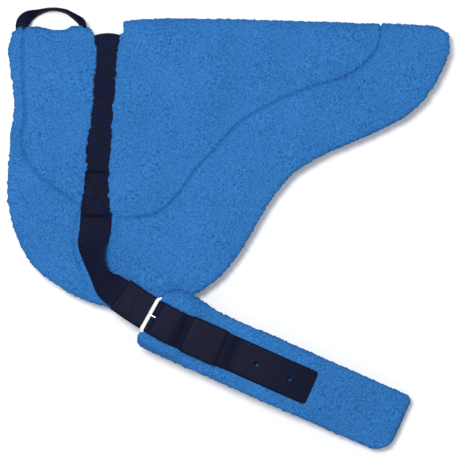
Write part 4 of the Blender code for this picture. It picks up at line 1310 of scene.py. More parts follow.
    def cover(self) -> None:
        """Build the fleece, in one piece over both halves and the spine."""
        plan = self.plan
        notch = plan.crease_y - plan.web_fold_depth - plan.gap
        bm = bmesh.new()
        outline = self.outline(notch)
        slab(bm, outline, 0.0, plan.half - plan.core_top)
        slab(bm, outline, plan.half + plan.core_top, 2 * plan.half)
        for span, depth in zip(self.roll_spans(), self.roll_depths):
            share = depth / plan.half
            inner = (plan.core_top * share, plan.core_top)
            half_disc(bm, span, (plan.crease_y - plan.gap, plan.half), (depth, plan.half), inner)
        item = finish_solid("fleece_cover", bm, self.voxel)
        self.lay_spine(item)
        self.raise_panels(item)
        for chosen in (self.shown, self.near_lines, self.silhouette):
            refine(item, chosen)
        relax(item, 2)
        self.press(item)
        dress(item, self.finishes.fleece, (
            "off_fleece_cover", "near_fleece_cover", "spine_fleece_front", "spine_fleece_rear"))
        self.quilting(item)
        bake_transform(item)

    def lines(self) -> list[Vector]:
        """Plan of the quilting seam, run on over the spine."""
        seam = self.plan.seam()
        reach = Vector((0.0, 2 * self.plan.half, 0.0))
        return [seam[0] + reach, *seam, seam[-1] + reach]

    def round_rim(self, points: np.ndarray) -> None:
        """Round the rim of each side's outer face.

        Args:
            points: rows of the cover's places, which are moved.
        """
        plan = self.plan
        rim = self.outline(plan.crease_y)[:-4]
        room = np.clip(self.rim - path_distance(points[:, :2], rim), 0.0, self.rim)
        fall = self.rim - np.sqrt(self.rim ** 2 - room ** 2)
        share = np.clip((points[:, 2] - plan.half) / plan.half, -1.0, 1.0)
        outer = np.clip((np.abs(share) - self.rim_share) / (1.0 - self.rim_share), 0.0, 1.0)
        share = np.sign(share) * outer
        points[:, 2] -= fall * share * (points[:, 1] < plan.crease_y)

    def lay_spine(self, item: bpy.types.Object) -> None:
        """Let the spine's roll lie fuller or flatter along its length, as it does in the photo."""
        plan = self.plan
        places, fullness = zip(*self.roll_shares)
        with moving(item.data) as points:
            scale = np.interp((points[:, 0] - plan.front_x) / plan.length, places, fullness)
            points[:, 1] += np.maximum(points[:, 1] - plan.crease_y, 0.0) * (scale - 1.0)

    def channel(self, places: np.ndarray) -> np.ndarray:
        """How far inside the bared width of the surcingle places lie, the pile leaning over its edges.

        Args:
            places: rows of X and Y.

        Returns:
            The distance inwards from the pile's edge, negative outside it.
        """
        top, bottom = (np.array(end) for end in self.plan.surcingle())
        length = float(np.linalg.norm(bottom - top))
        run = (bottom - top) / length
        along = (places - top) @ run / length
        across = (places - top) @ np.array((-run[1], run[0]))
        shares, left, right = (np.array(column) for column in zip(*self.bared_shares))
        width = np.where(across < 0.0, np.interp(along, shares, left), np.interp(along, shares, right))
        inside = width * self.plan.web_width / 2 - np.abs(across)
        return inside - self.plan.web_width * (along > 1.06)

    def off_channels(self) -> list[list[Vector]]:
        """Plans of the runs that the off tug and billet press into the off side."""
        tug = smooth_points([point.to_3d() for point in self.plan.tug()], 3)
        start, end = OffStrap.run(self.plan, self.girth)
        return [tug, [start.to_3d(), end.to_3d()]]

    def raise_panels(self, item: bpy.types.Object) -> None:
        """Let the panels of the near side and the spine swell between the seams and the strap.

        Args:
            item: the fleece cover's skin.
        """
        points = read_points(item.data)
        rim = [point.to_3d() for point in self.outline(self.plan.crease_y)]
        rim.append(rim[0])
        plan_points = points[:, :2]
        seam = path_distance(plan_points, self.lines())
        web = np.maximum(-self.channel(plan_points), 0.0)
        edge = path_distance(plan_points, rim)
        inner = points[:, 2] < 2 * self.plan.half - self.face_depth
        held = (seam < self.voxel * 0.8) | (web < self.voxel * 0.5) | (edge < self.voxel) | inner
        Swelling(self.crown).apply(item, held)

    def shown(self, middles: np.ndarray, normals: np.ndarray) -> np.ndarray:
        """Tell the faces of the near side, the rims and the spine from the hidden ones."""
        plan = self.plan
        near = (middles[:, 2] > plan.half + plan.core_top + self.skin_margin) & (normals[:, 2] > -0.3)
        rim = np.abs(normals[:, 2]) < 0.6
        outward = np.hypot(middles[:, 1] - plan.crease_y, middles[:, 2] - plan.half) > plan.core_top
        spine = (middles[:, 1] > plan.crease_y) & outward & (middles[:, 2] > self.spine_low)
        return near | (rim & (middles[:, 1] < plan.crease_y)) | spine

    def silhouette(self, middles: np.ndarray, normals: np.ndarray) -> np.ndarray:
        """Tell the faces whose pile stands out round the pad as it is seen from above."""
        plan = self.plan
        side = (np.abs(normals[:, 2]) < 0.7) & (middles[:, 2] > plan.half + plan.core_top)
        spine = (middles[:, 1] > plan.crease_y + self.spine_out) & (np.abs(normals[:, 2]) < 0.8)
        return side | spine

    def near_lines(self, middles: np.ndarray, normals: np.ndarray) -> np.ndarray:
        """Tell the outer faces of either side that lie by the seam or by the surcingle's edges."""
        seam = path_distance(middles[:, :2], self.lines())
        web = np.abs(self.channel(middles[:, :2]))
        height = middles[:, 2]
        outer = (height > 2 * self.plan.half - self.face_band) | (height < self.face_band)
        return (np.minimum(seam, web) < self.seam_margin) & outer & (np.abs(normals[:, 2]) > 0.5)

    def press(self, item: bpy.types.Object) -> None:
        """Sink the seam and the straps' channels, and raise the pile everywhere else.

        Args:
            item: the fleece cover's skin.
        """
        plan = self.plan
        with moving(item.data) as points:
            self.round_rim(points)
        normals = read_normals(item.data)
        with moving(item.data) as points:
            seam = path_distance(points[:, :2], self.lines()) + self.tufts.at(points)
            points -= normals * (self.groove * np.exp(-((seam / self.groove_width) ** 2)))[:, None]
            near = points[:, 2] > plan.half + plan.core_top + self.face_margin
            off = points[:, 2] < plan.half - plan.core_top - self.face_margin
            sunk = self.press_web(points, near, off)
            sunk = np.maximum(sunk, self.press_off(points, off))
            sunk = np.maximum(sunk, self.press_tug(points, near))
            laid, spread = self.seam_bare
            stands = (1.0 - sunk) * (1.0 - laid * np.exp(-((seam / (spread * self.groove_width)) ** 2)))
            kept, inside = self.inner_rim
            inner = np.abs(points[:, 2] - plan.half) < plan.core_top + self.skin_margin
            stands[inner & (points[:, 1] < plan.crease_y - inside)] *= kept
            points += normals * (self.pile.lift(points) * stands)[:, None]
            points[:, 2] = np.maximum(points[:, 2], FLOOR_CLEARANCE)

    def press_web(self, points: np.ndarray, near: np.ndarray, off: np.ndarray) -> np.ndarray:
        """Sink the channel of the surcingle on both sides, and leave a fringe over its edges.

        Args:
            points: rows of the cover's places, which are moved.
            near: true for the points of the near side's outer face.
            off: true for those of the off side's.

        Returns:
            How far each point is pressed, from 0 to 1.
        """
        plan = self.plan
        lean = self.fringe.at(points) - self.fringe_back
        sunk = ease((self.channel(points[:, :2]) - lean) / self.slope) * (near | off)
        reach = plan.web_base - self.web_room
        floor = np.where(near, plan.height(Side.NEAR, reach), plan.height(Side.OFF, reach))
        points[:, 2] += (floor - points[:, 2]) * sunk
        return sunk

    def press_off(self, points: np.ndarray, off: np.ndarray) -> np.ndarray:
        """Sink the channels of the off tug and billet, and return how far each point is pressed.

        Args:
            points: rows of the cover's places, which are moved.
            off: true for the points of the off side's outer face.

        Returns:
            How far each point is pressed, from 0 to 1.
        """
        half, slope, level = self.off_channel
        sunk = np.zeros(len(points))
        for path in self.off_channels():
            share = ease((half - path_distance(points[:, :2], path)) / slope) * off
            points[:, 2] += (level - points[:, 2]) * share
            sunk = np.maximum(sunk, share)
        return sunk

    def press_tug(self, points: np.ndarray, near: np.ndarray) -> np.ndarray:
        """Sink the pile that the banked near tug lies over.

        Args:
            points: rows of the cover's places, which are moved.
            near: true for the points of the near side's outer face.

        Returns:
            How far each point is pressed, from 0 to 1.
        """
        strap = NearStrap(self.plan, self.girth, self.finishes).tug_strap()
        spots = np.array([place + across * strap.width * share / 2
                          for place, across, _, _ in strap.frames() for share in np.linspace(-1.0, 1.0, 9)])
        close = np.nonzero(near & (path_distance(points[:, :2], strap.route) < 0.8 * strap.width))[0]
        apart = np.linalg.norm(points[close, None, :2] - spots[None, :, :2], axis=2)
        nearest = apart.argmin(axis=1)
        room = spots[nearest, 2] - self.tug_room
        reach, slope = self.tug_reach
        share = ease((reach - apart[np.arange(len(close)), nearest]) / slope)
        share *= points[close, 2] > room - self.slope
        points[close, 2] += (np.minimum(points[close, 2], room) - points[close, 2]) * share
        sunk = np.zeros(len(points))
        sunk[close] = share
        return sunk

    def quilting(self, item: bpy.types.Object) -> None:
        """Lay the thread of the quilting seam in its groove, on each side's outer face.

        Args:
            item: the fleece cover that is sewn through.
        """
        tree = BVHTree.FromPolygons([vert.co for vert in item.data.vertices],
                                    [face.vertices for face in item.data.polygons])
        for side in Side:
            away = UP * side.sign
            line = []
            for spot in even_points(self.plan.seam(), self.thread.stitch):
                start = raised(spot, self.plan.half) + away * 4 * self.plan.half
                hit = tree.ray_cast(start, -away)[0]
                if hit is not None:
                    line.append(hit + away * self.thread_rise)
            sewn = dress(stitches(f"{side.value}_quilting_stitches", [line], self.thread),
                         self.finishes.quilting)
            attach(sewn, f"{side.value}_half")

    def padding(self, side: Side) -> None:
        """Build one half's felt core and lining as one padded piece, edged with pile.

        Args:
            side: the half that it lines.
        """
        plan = self.plan
        low, high = sorted(plan.height(side, reach) for reach in (plan.gap, plan.core_top))
        inset, step = self.lining_inset
        bm = bmesh.new()
        slab(bm, self.outline(plan.crease_y - self.lining_notch, inset), low + step, high)
        item = finish_solid(f"{side.value}_lining_pad", bm, self.voxel)

        def lining(middles: np.ndarray, normals: np.ndarray) -> np.ndarray:
            """Tell the faces by the seam of the horse side, and the rims."""
            seam = path_distance(middles[:, :2], self.lines())
            horse = (seam < self.lining_band) & (normals[:, 2] * side.sign < -0.5)
            return horse | (np.abs(normals[:, 2]) < 0.6)

        refine(item, lining)
        normals = read_normals(item.data)
        horse = np.clip(-normals[:, 2] * side.sign, 0.0, 1.0)
        depth, width = self.lining_groove
        with moving(item.data) as points:
            seam = path_distance(points[:, :2], self.lines())
            points -= normals * (depth * horse * np.exp(-((seam / width) ** 2)))[:, None]
            lift = self.short_pile.lift(points) * (1.0 - 0.9 * horse) - self.lining_flat * horse
            points += normals * lift[:, None]
        dress(item, self.finishes.lining, (f"{side.value}_lining", f"{side.value}_core"))
        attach(item, f"{side.value}_half")

    def spine(self) -> None:
        """Build the lining and core that turn over the spine, as one padded piece."""
        plan = self.plan
        around, behind, front, rear = self.spine_inset
        bm = bmesh.new()
        for span, depth in zip(self.roll_spans(), self.roll_depths):
            reach = plan.core_top - around
            half_disc(bm, (span[0] + front, span[1] - rear), (plan.crease_y + behind, plan.half),
                      (reach * depth / plan.half - behind, reach))
        item = finish_solid("spine_lining", bm, self.spine_voxel)
        self.lay_spine(item)
        dress(item, self.finishes.lining, (
            "spine_lining_front", "spine_lining_rear", "spine_core_front", "spine_core_rear"))
        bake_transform(item)


# Straps on the pad


@dataclass
class Surcingle(Part):
    """The web that runs over the folded pad, with the tugs' laps box-stitched to its ends.

    The fold stands out by its arch in the middle and is drawn in by its tuck at the edges.
    """

    inset: float = 5.0 * MM
    # Bar-tack rows at each end of the lap. In near-black thread they also stand for the shade at its
    # stepped ends: painted shade.
    shade_tacks: int = 3
    tack_pitch: float = 1.3 * MM
    stitch_lift: float = 0.3 * MM
    fold_start: float = 2 * MM
    fold_steps: int = 24
    fold_arch: float = 4.5 * MM
    fold_tuck: float = 1.0 * MM

    def build(self) -> None:
        """Build the web, the two laps and their stitching."""
        self.web()
        for side in Side:
            self.lap(side)

    def web(self) -> None:
        """Build the web in one piece, up the off side, round the fold and down the near side."""
        plan = self.plan
        top, bottom = plan.surcingle()
        reach = plan.web_base + plan.web_thickness / 2
        depth = plan.web_fold_depth - plan.web_thickness / 2
        centre = plan.crease_y - plan.web_fold_depth
        turns = [math.pi * (step / self.fold_steps - 0.5) for step in range(self.fold_steps + 1)]
        fold = [Vector((top.x, centre + depth * math.cos(turn), plan.half + reach * math.sin(turn)))
                for turn in turns]
        low, high = plan.height(Side.OFF, reach), plan.height(Side.NEAR, reach)
        start = Vector((top.x, top.y - self.fold_start))
        route = [raised(bottom, low), raised(start, low), *fold, raised(start, high), raised(bottom, high)]
        item = plan.web("surcingle_web", route, across=Vector((1.0, 0.0, 0.0))).build()
        self.arch_fold(item.data)
        dress(item, self.finishes.web, (
            "off_surcingle_web", "near_surcingle_web", "surcingle_fold_web"))
        edge = plan.height(Side.OFF, plan.web_base)
        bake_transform(item)

    def arch_fold(self, mesh: bpy.types.Mesh) -> None:
        """Arch the web's fold, which stands fullest in the middle and is drawn in at its edges.

        Args:
            mesh: the web over the spine.
        """
        plan = self.plan
        middle = plan.surcingle()[0].x
        start = plan.crease_y - plan.web_fold_depth
        for vert in mesh.vertices:
            side = min(abs(vert.co.x - middle) / (plan.web_width / 2), 1.0)
            share = ease((vert.co.y - start) / plan.web_fold_depth)
            vert.co.y += (self.fold_arch * (1.0 - side ** 2) - self.fold_tuck) * share

    def lap(self, side: Side) -> None:
        """Build the lap of one tug and the box of stitches that holds it.

        Args:
            side: the side of the tug.
        """
        plan = self.plan
        top, bottom = plan.surcingle()
        run = (bottom - top).normalized()
        level = plan.height(side, plan.lap_base + plan.web_thickness / 2)
        start, end = raised(bottom - run * plan.lap_length, level), raised(bottom, level)
        item = dress(plan.web(f"{side.value}_lap_web", [start, end]).build(), self.finishes.web,
                     (f"{side.value}_tug_lap",))
        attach(item, f"{side.value}_half")
        surface = plan.height(side, plan.lap_base + plan.web_thickness + plan.rib_height / 2)
        thread = Thread(lift=self.stitch_lift * side.sign)
        sewn = dress(stitches(f"{side.value}_lap_stitches", self.box(start, end, surface), thread),
                     self.finishes.thread)
        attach(sewn, f"{side.value}_half")

    def box(self, start: Vector, end: Vector, surface: float) -> list[list[Vector]]:
        """Lines of a box of stitches with a cross in it, and further rows at each end: bar tacks, whose
        close rows of near-black thread also paint the shade of the lap's stepped ends.

        Args:
            start: the lap's upper end in plan.
            end: its lower end in plan.
            surface: the height of its face.

        Returns:
            The lines, each as its points.
        """
        run = (end - start).normalized()
        side = Vector((-run.y, run.x, 0.0))
        half = self.plan.web_width / 2 - self.inset
        corners = [start + run * self.inset - side * half, start + run * self.inset + side * half,
                   end - run * self.inset + side * half, end - run * self.inset - side * half]
        first, second, third, fourth = (raised(corner, surface) for corner in corners)
        # Painted shade: the close dark rows at each end stand for the shadow of the lap's stepped ends.
        shade_tacks = []
        for number in range(1, self.shade_tacks + 1):
            step = run * number * self.tack_pitch
            shade_tacks += [[first - step, second - step], [third + step, fourth + step]]
        return [[first, second, third, fourth, first], [first, third], [second, fourth], *shade_tacks]


@dataclass
class Handle(Part):
    """The handle of doubled web, sewn into the spine over the withers.

    It stands out from the crease by its reach. The hinge's share and width are not used. The
    shares of its route lie along its span and out to its reach, with how far it has turned on edge.
    """

    width: float = 20 * MM
    thickness: float = 3.6 * MM
    reach: float = 44.5 * MM
    from_front: float = 22 * MM
    to_web: float = 15.6 * MM
    rib_height: float = 0.6 * MM
    inset: float = 3 * MM
    step: float = 0.8 * MM
    hinge_share: float = 0.79
    hinge_width: float = 18 * MM
    smoothness: int = 6
    sewn_share: float = 0.400
    shares: tuple = ((0.0, 0.145), (0.0, 0.400), (0.022, 0.540), (0.084, 0.690), (0.157, 0.790),
                     (0.273, 0.893), (0.420, 0.992), (0.554, 1.0), (0.709, 0.921), (0.810, 0.790),
                     (0.875, 0.690), (0.955, 0.550), (1.0, 0.400), (1.0, 0.145))
    turn_shares: tuple = (0.0, 0.0, 0.08, 0.36, 0.60, 0.86, 1.0, 1.0, 0.92, 0.84, 0.76, 0.66, 0.58, 0.58)

    def build(self) -> None:
        """Build the handle and the rows of stitches along both its faces."""
        plan = self.plan
        half = plan.web_width / 2 + plan.web_margin
        span = plan.surcingle_shares[0][0] * plan.length - half - self.to_web - self.from_front
        droop = plan.half - self.width / 2 - plan.gap
        points = []
        for along, out in self.shares:
            fall = droop * max(out - self.sewn_share, 0.0) / (1.0 - self.sewn_share)
            points.append((plan.front_x + self.from_front + along * span, plan.crease_y + out * self.reach,
                           plan.half - fall))
        turns = [math.pi / 2 * share for share in smooth_values(self.turn_shares, self.smoothness)]
        strap = Strap("handle", smooth_points(points, self.smoothness), self.width, self.thickness, turns,
                      plan.rib, self.rib_height, self.step, 8)
        item = dress(strap.build(), self.finishes.web, (
            "handle_foot_front", "handle_web", "handle_foot_rear"))
        offset, height = self.width / 2 - self.inset, (self.thickness + self.rib_height) / 2
        rows = [strap.line(place * offset, side * height) for place in (-1, 1) for side in (-1, 1)]
        sewn = dress(stitches("handle_stitches", rows, Thread(lift=0.0)), self.finishes.thread)
        for piece in (item, sewn):
            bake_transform(piece)


# The girth and what is buckled to it


@dataclass
class Girth(Part):
    """The fleece-covered girth, folded double.

    Attributes:
        bed: half width of the billet's bed, its slope, where it ends and the slope of that.
        heap: how far to the side the pile starts to be heaped over the rails, and its slope.
        heap_side: how far to the side it starts to fall, and over what width.
        heap_end: how far along the girth it starts to fall, and over what length.
        pit: width and depth of the pits under the billet's free holes.
        flare: how far the near end's upper edge stands out, with its rise and its fall.
        reach_out: how far the near end's lower corner stands out.
        corner_side: how far to the side that corner starts, and over what width it grows.
        end_shown: how far the fold stands out over its crease.
        end_corners: radii of the folded end's lower and upper corners.
    """

    voxel: float = 2.6 * MM
    pile: Pile = Pile()
    bed: tuple = (27.0 * MM, 2.5 * MM, 280 * MM, 4 * MM)
    pressed: float = 4.5 * MM
    rail_cover: float = 12.6 * MM
    heap: tuple = (26.7 * MM, 2.2 * MM)
    heap_side: tuple = (41 * MM, 13 * MM)
    heap_end: tuple = (46 * MM, 34 * MM)
    pit: tuple = (7.5 * MM, 12.5 * MM)
    flare: float = 10.0 * MM
    flare_rise: float = 28 * MM
    flare_fall: tuple = (35 * MM, 65 * MM)
    reach_out: float = 10.0 * MM
    corner_side: tuple = (12 * MM, 24 * MM)
    corner_length: float = 45 * MM
    fold_overlap: float = 0.6 * MM
    end_shown: float = 7.0 * MM
    end_corners: tuple = (34.0 * MM, 10.0 * MM)

    def settle(self, points: np.ndarray) -> None:
        """Press the near end's pile down under the billet, and heap it over the buckle's rails.

        Args:
            points: rows of places in the girth's space, which are moved.
        """
        reach, height = points[:, 0], points[:, 2]
        base = self.girth.upper_base(np.maximum(reach, 0.0))
        side = np.abs(points[:, 1] - self.girth.billet_line(reach))
        top = ease((height - base - 0.6 * self.girth.thickness) / (0.3 * self.girth.thickness))
        half, slope, end, end_slope = self.bed
        under = ease((half - side) / slope) * ease((end - reach) / end_slope)
        rails = past(side, self.heap) * (1.0 - past(side, self.heap_side))
        rails *= 1.0 - past(reach, self.heap_end)
        points[:, 2] += top * (self.rail_cover * rails - self.pressed * under)
        strap = NearStrap(self.plan, self.girth, self.finishes)
        wide, deep = self.pit
        for centre in strap.hole_reaches():
            apart = np.hypot(reach - centre, points[:, 1] - self.girth.billet_line(centre))
            points[:, 2] -= top * deep * np.exp(-((apart / wide) ** 4))
        corner = past(-points[:, 1], self.corner_side)
        points[:, 0] -= self.reach_out * corner * (1.0 - ease(reach / self.corner_length))
        along = ease(reach / self.flare_rise) * (1.0 - past(reach, self.flare_fall))
        edge = np.clip(points[:, 1] / (self.girth.width / 2), 0.0, 1.0) ** 4
        points[:, 1] += self.flare * along * edge

    def round_end(self, points: np.ndarray) -> None:
        """Round the corners of the girth's folded end, which lies a little flatter than its CAD.

        The fold keeps its place outside the crease that it turns on.

        Args:
            points: rows of places in the girth's space, which are moved.
        """
        crease, half = self.girth.upper_length, self.girth.width / 2
        corner = np.where(points[:, 1] < 0.0, *self.end_corners)
        inward = np.clip(np.minimum(points[:, 0], crease) - (crease + self.end_shown - corner), 0.0, corner)
        narrow = corner - np.sqrt(corner ** 2 - inward ** 2)
        points[:, 1] *= 1.0 - narrow / half
        width = corner - narrow
        turn = np.clip((np.abs(points[:, 1]) - (half - corner)) / width, 0.0, 1.0)
        bulge = np.sqrt(1.0 - 0.98 * turn ** 2) * self.end_shown / self.girth.fold_radius
        points[:, 0] -= np.maximum(points[:, 0] - crease, 0.0) * (1.0 - bulge)

    @staticmethod
    def layers(part: str) -> tuple[str, ...]:
        """CAD nodes of one part's layers."""
        return tuple(f"girth_{part}_{layer}" for layer in ("lining", "core", "cover"))

    def skin(self, name: str, halves: Sequence[str], keep_fold: bool) -> bpy.types.Object:
        """Make the closed fleece skin of one part of the girth.

        Args:
            name: the piece's name.
            halves: the halves that the skin is drawn over, upper, lower or both, with the fold.
            keep_fold: whether the fold is kept, or else the rest.

        Returns:
            The skin, in place, with its pile raised.
        """
        item = copy_nodes(name, [node for part in (*halves, "fold") for node in self.layers(part)])
        place = self.girth.matrix()
        item.data.transform(place.inverted())
        remesh(item, self.voxel)
        relax(item, 3)
        if "upper" in halves and not keep_fold:
            with moving(item.data) as points:
                self.settle(points)
        normals = read_normals(item.data)
        with moving(item.data) as points:
            points += normals * self.pile.lift(points)[:, None]
        cut = self.girth.upper_length - self.fold_overlap
        with mesh_edit(item.data) as bm:
            bmesh.ops.bisect_plane(bm, geom=[*bm.verts, *bm.edges, *bm.faces], dist=0.01 * MM,
                                   plane_co=(cut, 0.0, 0.0), plane_no=(1.0, 0.0, 0.0),
                                   clear_inner=keep_fold, clear_outer=not keep_fold)
            bmesh.ops.holes_fill(bm, edges=[edge for edge in bm.edges if edge.is_boundary])
        with moving(item.data) as points:
            self.round_end(points)
            points[:, 2] = np.maximum(points[:, 2], FLOOR_CLEARANCE)
        item.data.transform(place)
        return item

    def build(self) -> None:
        """Build both halves of the girth and the fold between them."""
        for part, body in (("upper", "near_strap"), ("lower", "girth_lower")):
            item = self.skin(f"girth_{part}_fleece", (part,), False)
            dress(item, self.finishes.fleece, self.layers(part))
            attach(item, body)
        fold = self.skin("girth_fold_fleece", ("upper", "lower"), True)
        dress(fold, self.finishes.fleece, self.layers("fold"))
        crease = self.girth.matrix() @ Vector((self.girth.upper_length, 0.0, 0.0))
        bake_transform(fold)


@dataclass
class NearStrap(Part):
    """The near tug, and the billet that is buckled to the girth.

    The tug rises and banks by its shares at the points of its plan. The billet lifts over the base bar
    by its shares at places along the buckle.
    """

    billet_reach: float = 283 * MM
    billet_lap: float = 30 * MM
    inset: float = 4 * MM
    bank: float = math.radians(48)
    slot_width: float = 4.5 * MM
    past_tail: float = 20 * MM
    rise_shares: tuple = (0.0, 0.0, 0.38, 0.74, 1.10, 1.10, 1.0, 1.0)
    bank_shares: tuple = (0.0, 0.0, 0.25, 0.75, 1.0, 0.85, 0.25, 0.0)
    reach_shares: tuple = (0.09, 0.16, 0.24, 0.34, 0.46, 0.62, 0.78, 1.0, 1.25)
    lift_shares: tuple = (0.03, 0.36, 0.72, 0.92, 0.98, 1.0, 1.0, 1.0, 0.90)
    hole_radius: float = 3.8 * MM
    hole_pitch: float = 59 * MM
    hole_to_tip: float = 40 * MM
    holes: int = 2
    slot_shares: tuple = (0.10, 0.27)

    def hole_reaches(self) -> list[float]:
        """Places of the free holes along the girth, from the tip backwards."""
        last = self.billet_reach - self.hole_to_tip
        return [last - number * self.hole_pitch for number in range(self.holes)]

    def build(self) -> None:
        """Build the tug, the billet and the stitches that join them."""
        item = dress(self.tug_strap().build(), self.finishes.web, ("near_tug_web",))
        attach(item, "near_strap")
        self.billet()

    def tug_strap(self) -> Strap:
        """Lay out the near tug, which banks as it bends to the girth."""
        plan = self.plan
        start = plan.height(Side.NEAR, plan.lap_base + plan.web_thickness / 2)
        end = self.girth.upper_end + self.girth.thickness - plan.web_thickness / 2
        places = [(place.x, place.y, start + (end - start) * share)
                  for place, share in zip(plan.tug(), self.rise_shares)]
        route = smooth_points(places, 6)
        run = (route[-1] - route[-2]).normalized()
        route.append(route[-1] + run * self.billet_lap)
        turns = [self.bank * share for share in smooth_values(self.bank_shares, 6)]
        return plan.web("near_tug", route, 8, [*turns, 0.0])

    def billet(self) -> None:
        """Build the billet, which passes under the far bar, over the base bar and through the keeper."""
        girth = self.girth
        buckle = Buckle(self.plan, girth, self.finishes, Side.NEAR)
        far = -buckle.past_end
        over = 2 * buckle.base_height
        tail = buckle.chape_tail + self.past_tail
        route = [(-girth.lap_to_girth, 0.0), (-girth.lap_to_girth / 2, 0.0), (far, 0.0)]
        route += [(far + buckle.length * reach, over * lift)
                  for reach, lift in zip(self.reach_shares, self.lift_shares)]
        route += [(reach, buckle.tail_height) for reach in (girth.keeper_start, buckle.chape_tail)]
        route.append((tail, 0.0))
        route += [(tail + (self.billet_reach - tail) * step / 6, 0.0) for step in range(1, 7)]
        face = girth.thickness + self.plan.gap + self.plan.billet_thickness / 2
        place = girth.matrix()
        points = [place @ Vector((reach, girth.billet_line(reach),
                                  girth.upper_base(max(reach, 0.0)) + face + height))
                  for reach, height in route]
        item = self.plan.billet("near_billet_strap", smooth_points(points, 4)).build()
        for reach in self.hole_reaches():
            centre = place @ Vector((reach, girth.billet_line(reach), girth.upper_base(reach) + face))
            punch(item, hole_mesh(centre, self.hole_radius))
        low, high = (buckle.length * share - buckle.length for share in self.slot_shares)
        punch(item, slot_mesh(buckle.frame_matrix() @ Matrix.Translation((buckle.bar_reach, 0.0, 0.0)),
                              (low, high), self.slot_width))
        dress(item, self.finishes.strap, ("near_billet",))
        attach(item, "near_strap")
        sewn = dress(stitches("near_billet_stitches", [self.lap_line(place, face)], Thread()),
                     self.finishes.thread)
        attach(sewn, "near_strap")

    def lap_line(self, place: Matrix, face: float) -> list[Vector]:
        """Closed line of the stitches that hold the billet's end to the tug.

        Args:
            place: the girth's place.
            face: the height of the billet's middle over the girth's horse side.

        Returns:
            The points of the line.
        """
        girth = self.girth
        surface = girth.upper_end + face + self.plan.billet_thickness / 2
        half = self.plan.web_width / 2 - self.inset
        first, last = self.inset - girth.lap_to_girth, self.billet_lap - self.inset - girth.lap_to_girth
        corners = [place @ Vector((reach, girth.billet_line(reach) + side * half, surface))
                   for reach, side in ((first, -1), (first, 1), (last, 1), (last, -1))]
        return [*corners, corners[0]]


@dataclass
class OffStrap(Part):
    """The off tug and its billet, unbuckled and flat under the pad.

    The tug drops to the billet by the shares at the points of its plan.
    """

    overlap: float = 30 * MM
    short: float = 40 * MM
    rib_height: float = 0.25 * MM
    hole_radius: float = 3.5 * MM
    hole_shares: tuple = (0.778, 0.450, 0.122)
    drop_shares: tuple = (0.0, 0.0, 0.0, 0.0, 0.0, 1.0, 1.0, 1.0)

    @classmethod
    def run(cls, plan: PadPlan, girth: GirthPlan) -> tuple[Vector, Vector]:
        """Ends of the off billet in plan."""
        start = plan.point(plan.tug_shares[-1])
        heading = Vector((math.cos(girth.heading), math.sin(girth.heading)))
        return start, start + heading * (girth.lap_to_girth + girth.off_start - cls.short)

    def build(self) -> None:
        """Build the off tug and the off billet."""
        plan = self.plan
        start, end = self.run(plan, self.girth)
        low = plan.lap_base + plan.web_thickness / 2
        drop = plan.billet_thickness + plan.gap
        route = smooth_points([raised(place, plan.height(Side.OFF, low - drop * share))
                               for place, share in zip(plan.tug(), self.drop_shares)], 6)
        route.append(route[-1] + (end - start).normalized().to_3d() * self.overlap)
        tug = plan.web("off_tug", route, rib_height=self.rib_height)
        item = dress(tug.build(), self.finishes.web, ("off_tug_web",))
        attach(item, "off_strap")
        level = plan.height(Side.OFF, plan.lap_base + plan.web_thickness - plan.billet_thickness / 2)
        points = [raised(start.lerp(end, step / 4), level) for step in range(5)]
        billet = plan.billet("off_billet_strap", points).build()
        for share in self.hole_shares:
            punch(billet, hole_mesh(points[0].lerp(points[-1], share), self.hole_radius))
        dress(billet, self.finishes.strap, ("off_billet",))
        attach(billet, "off_strap")


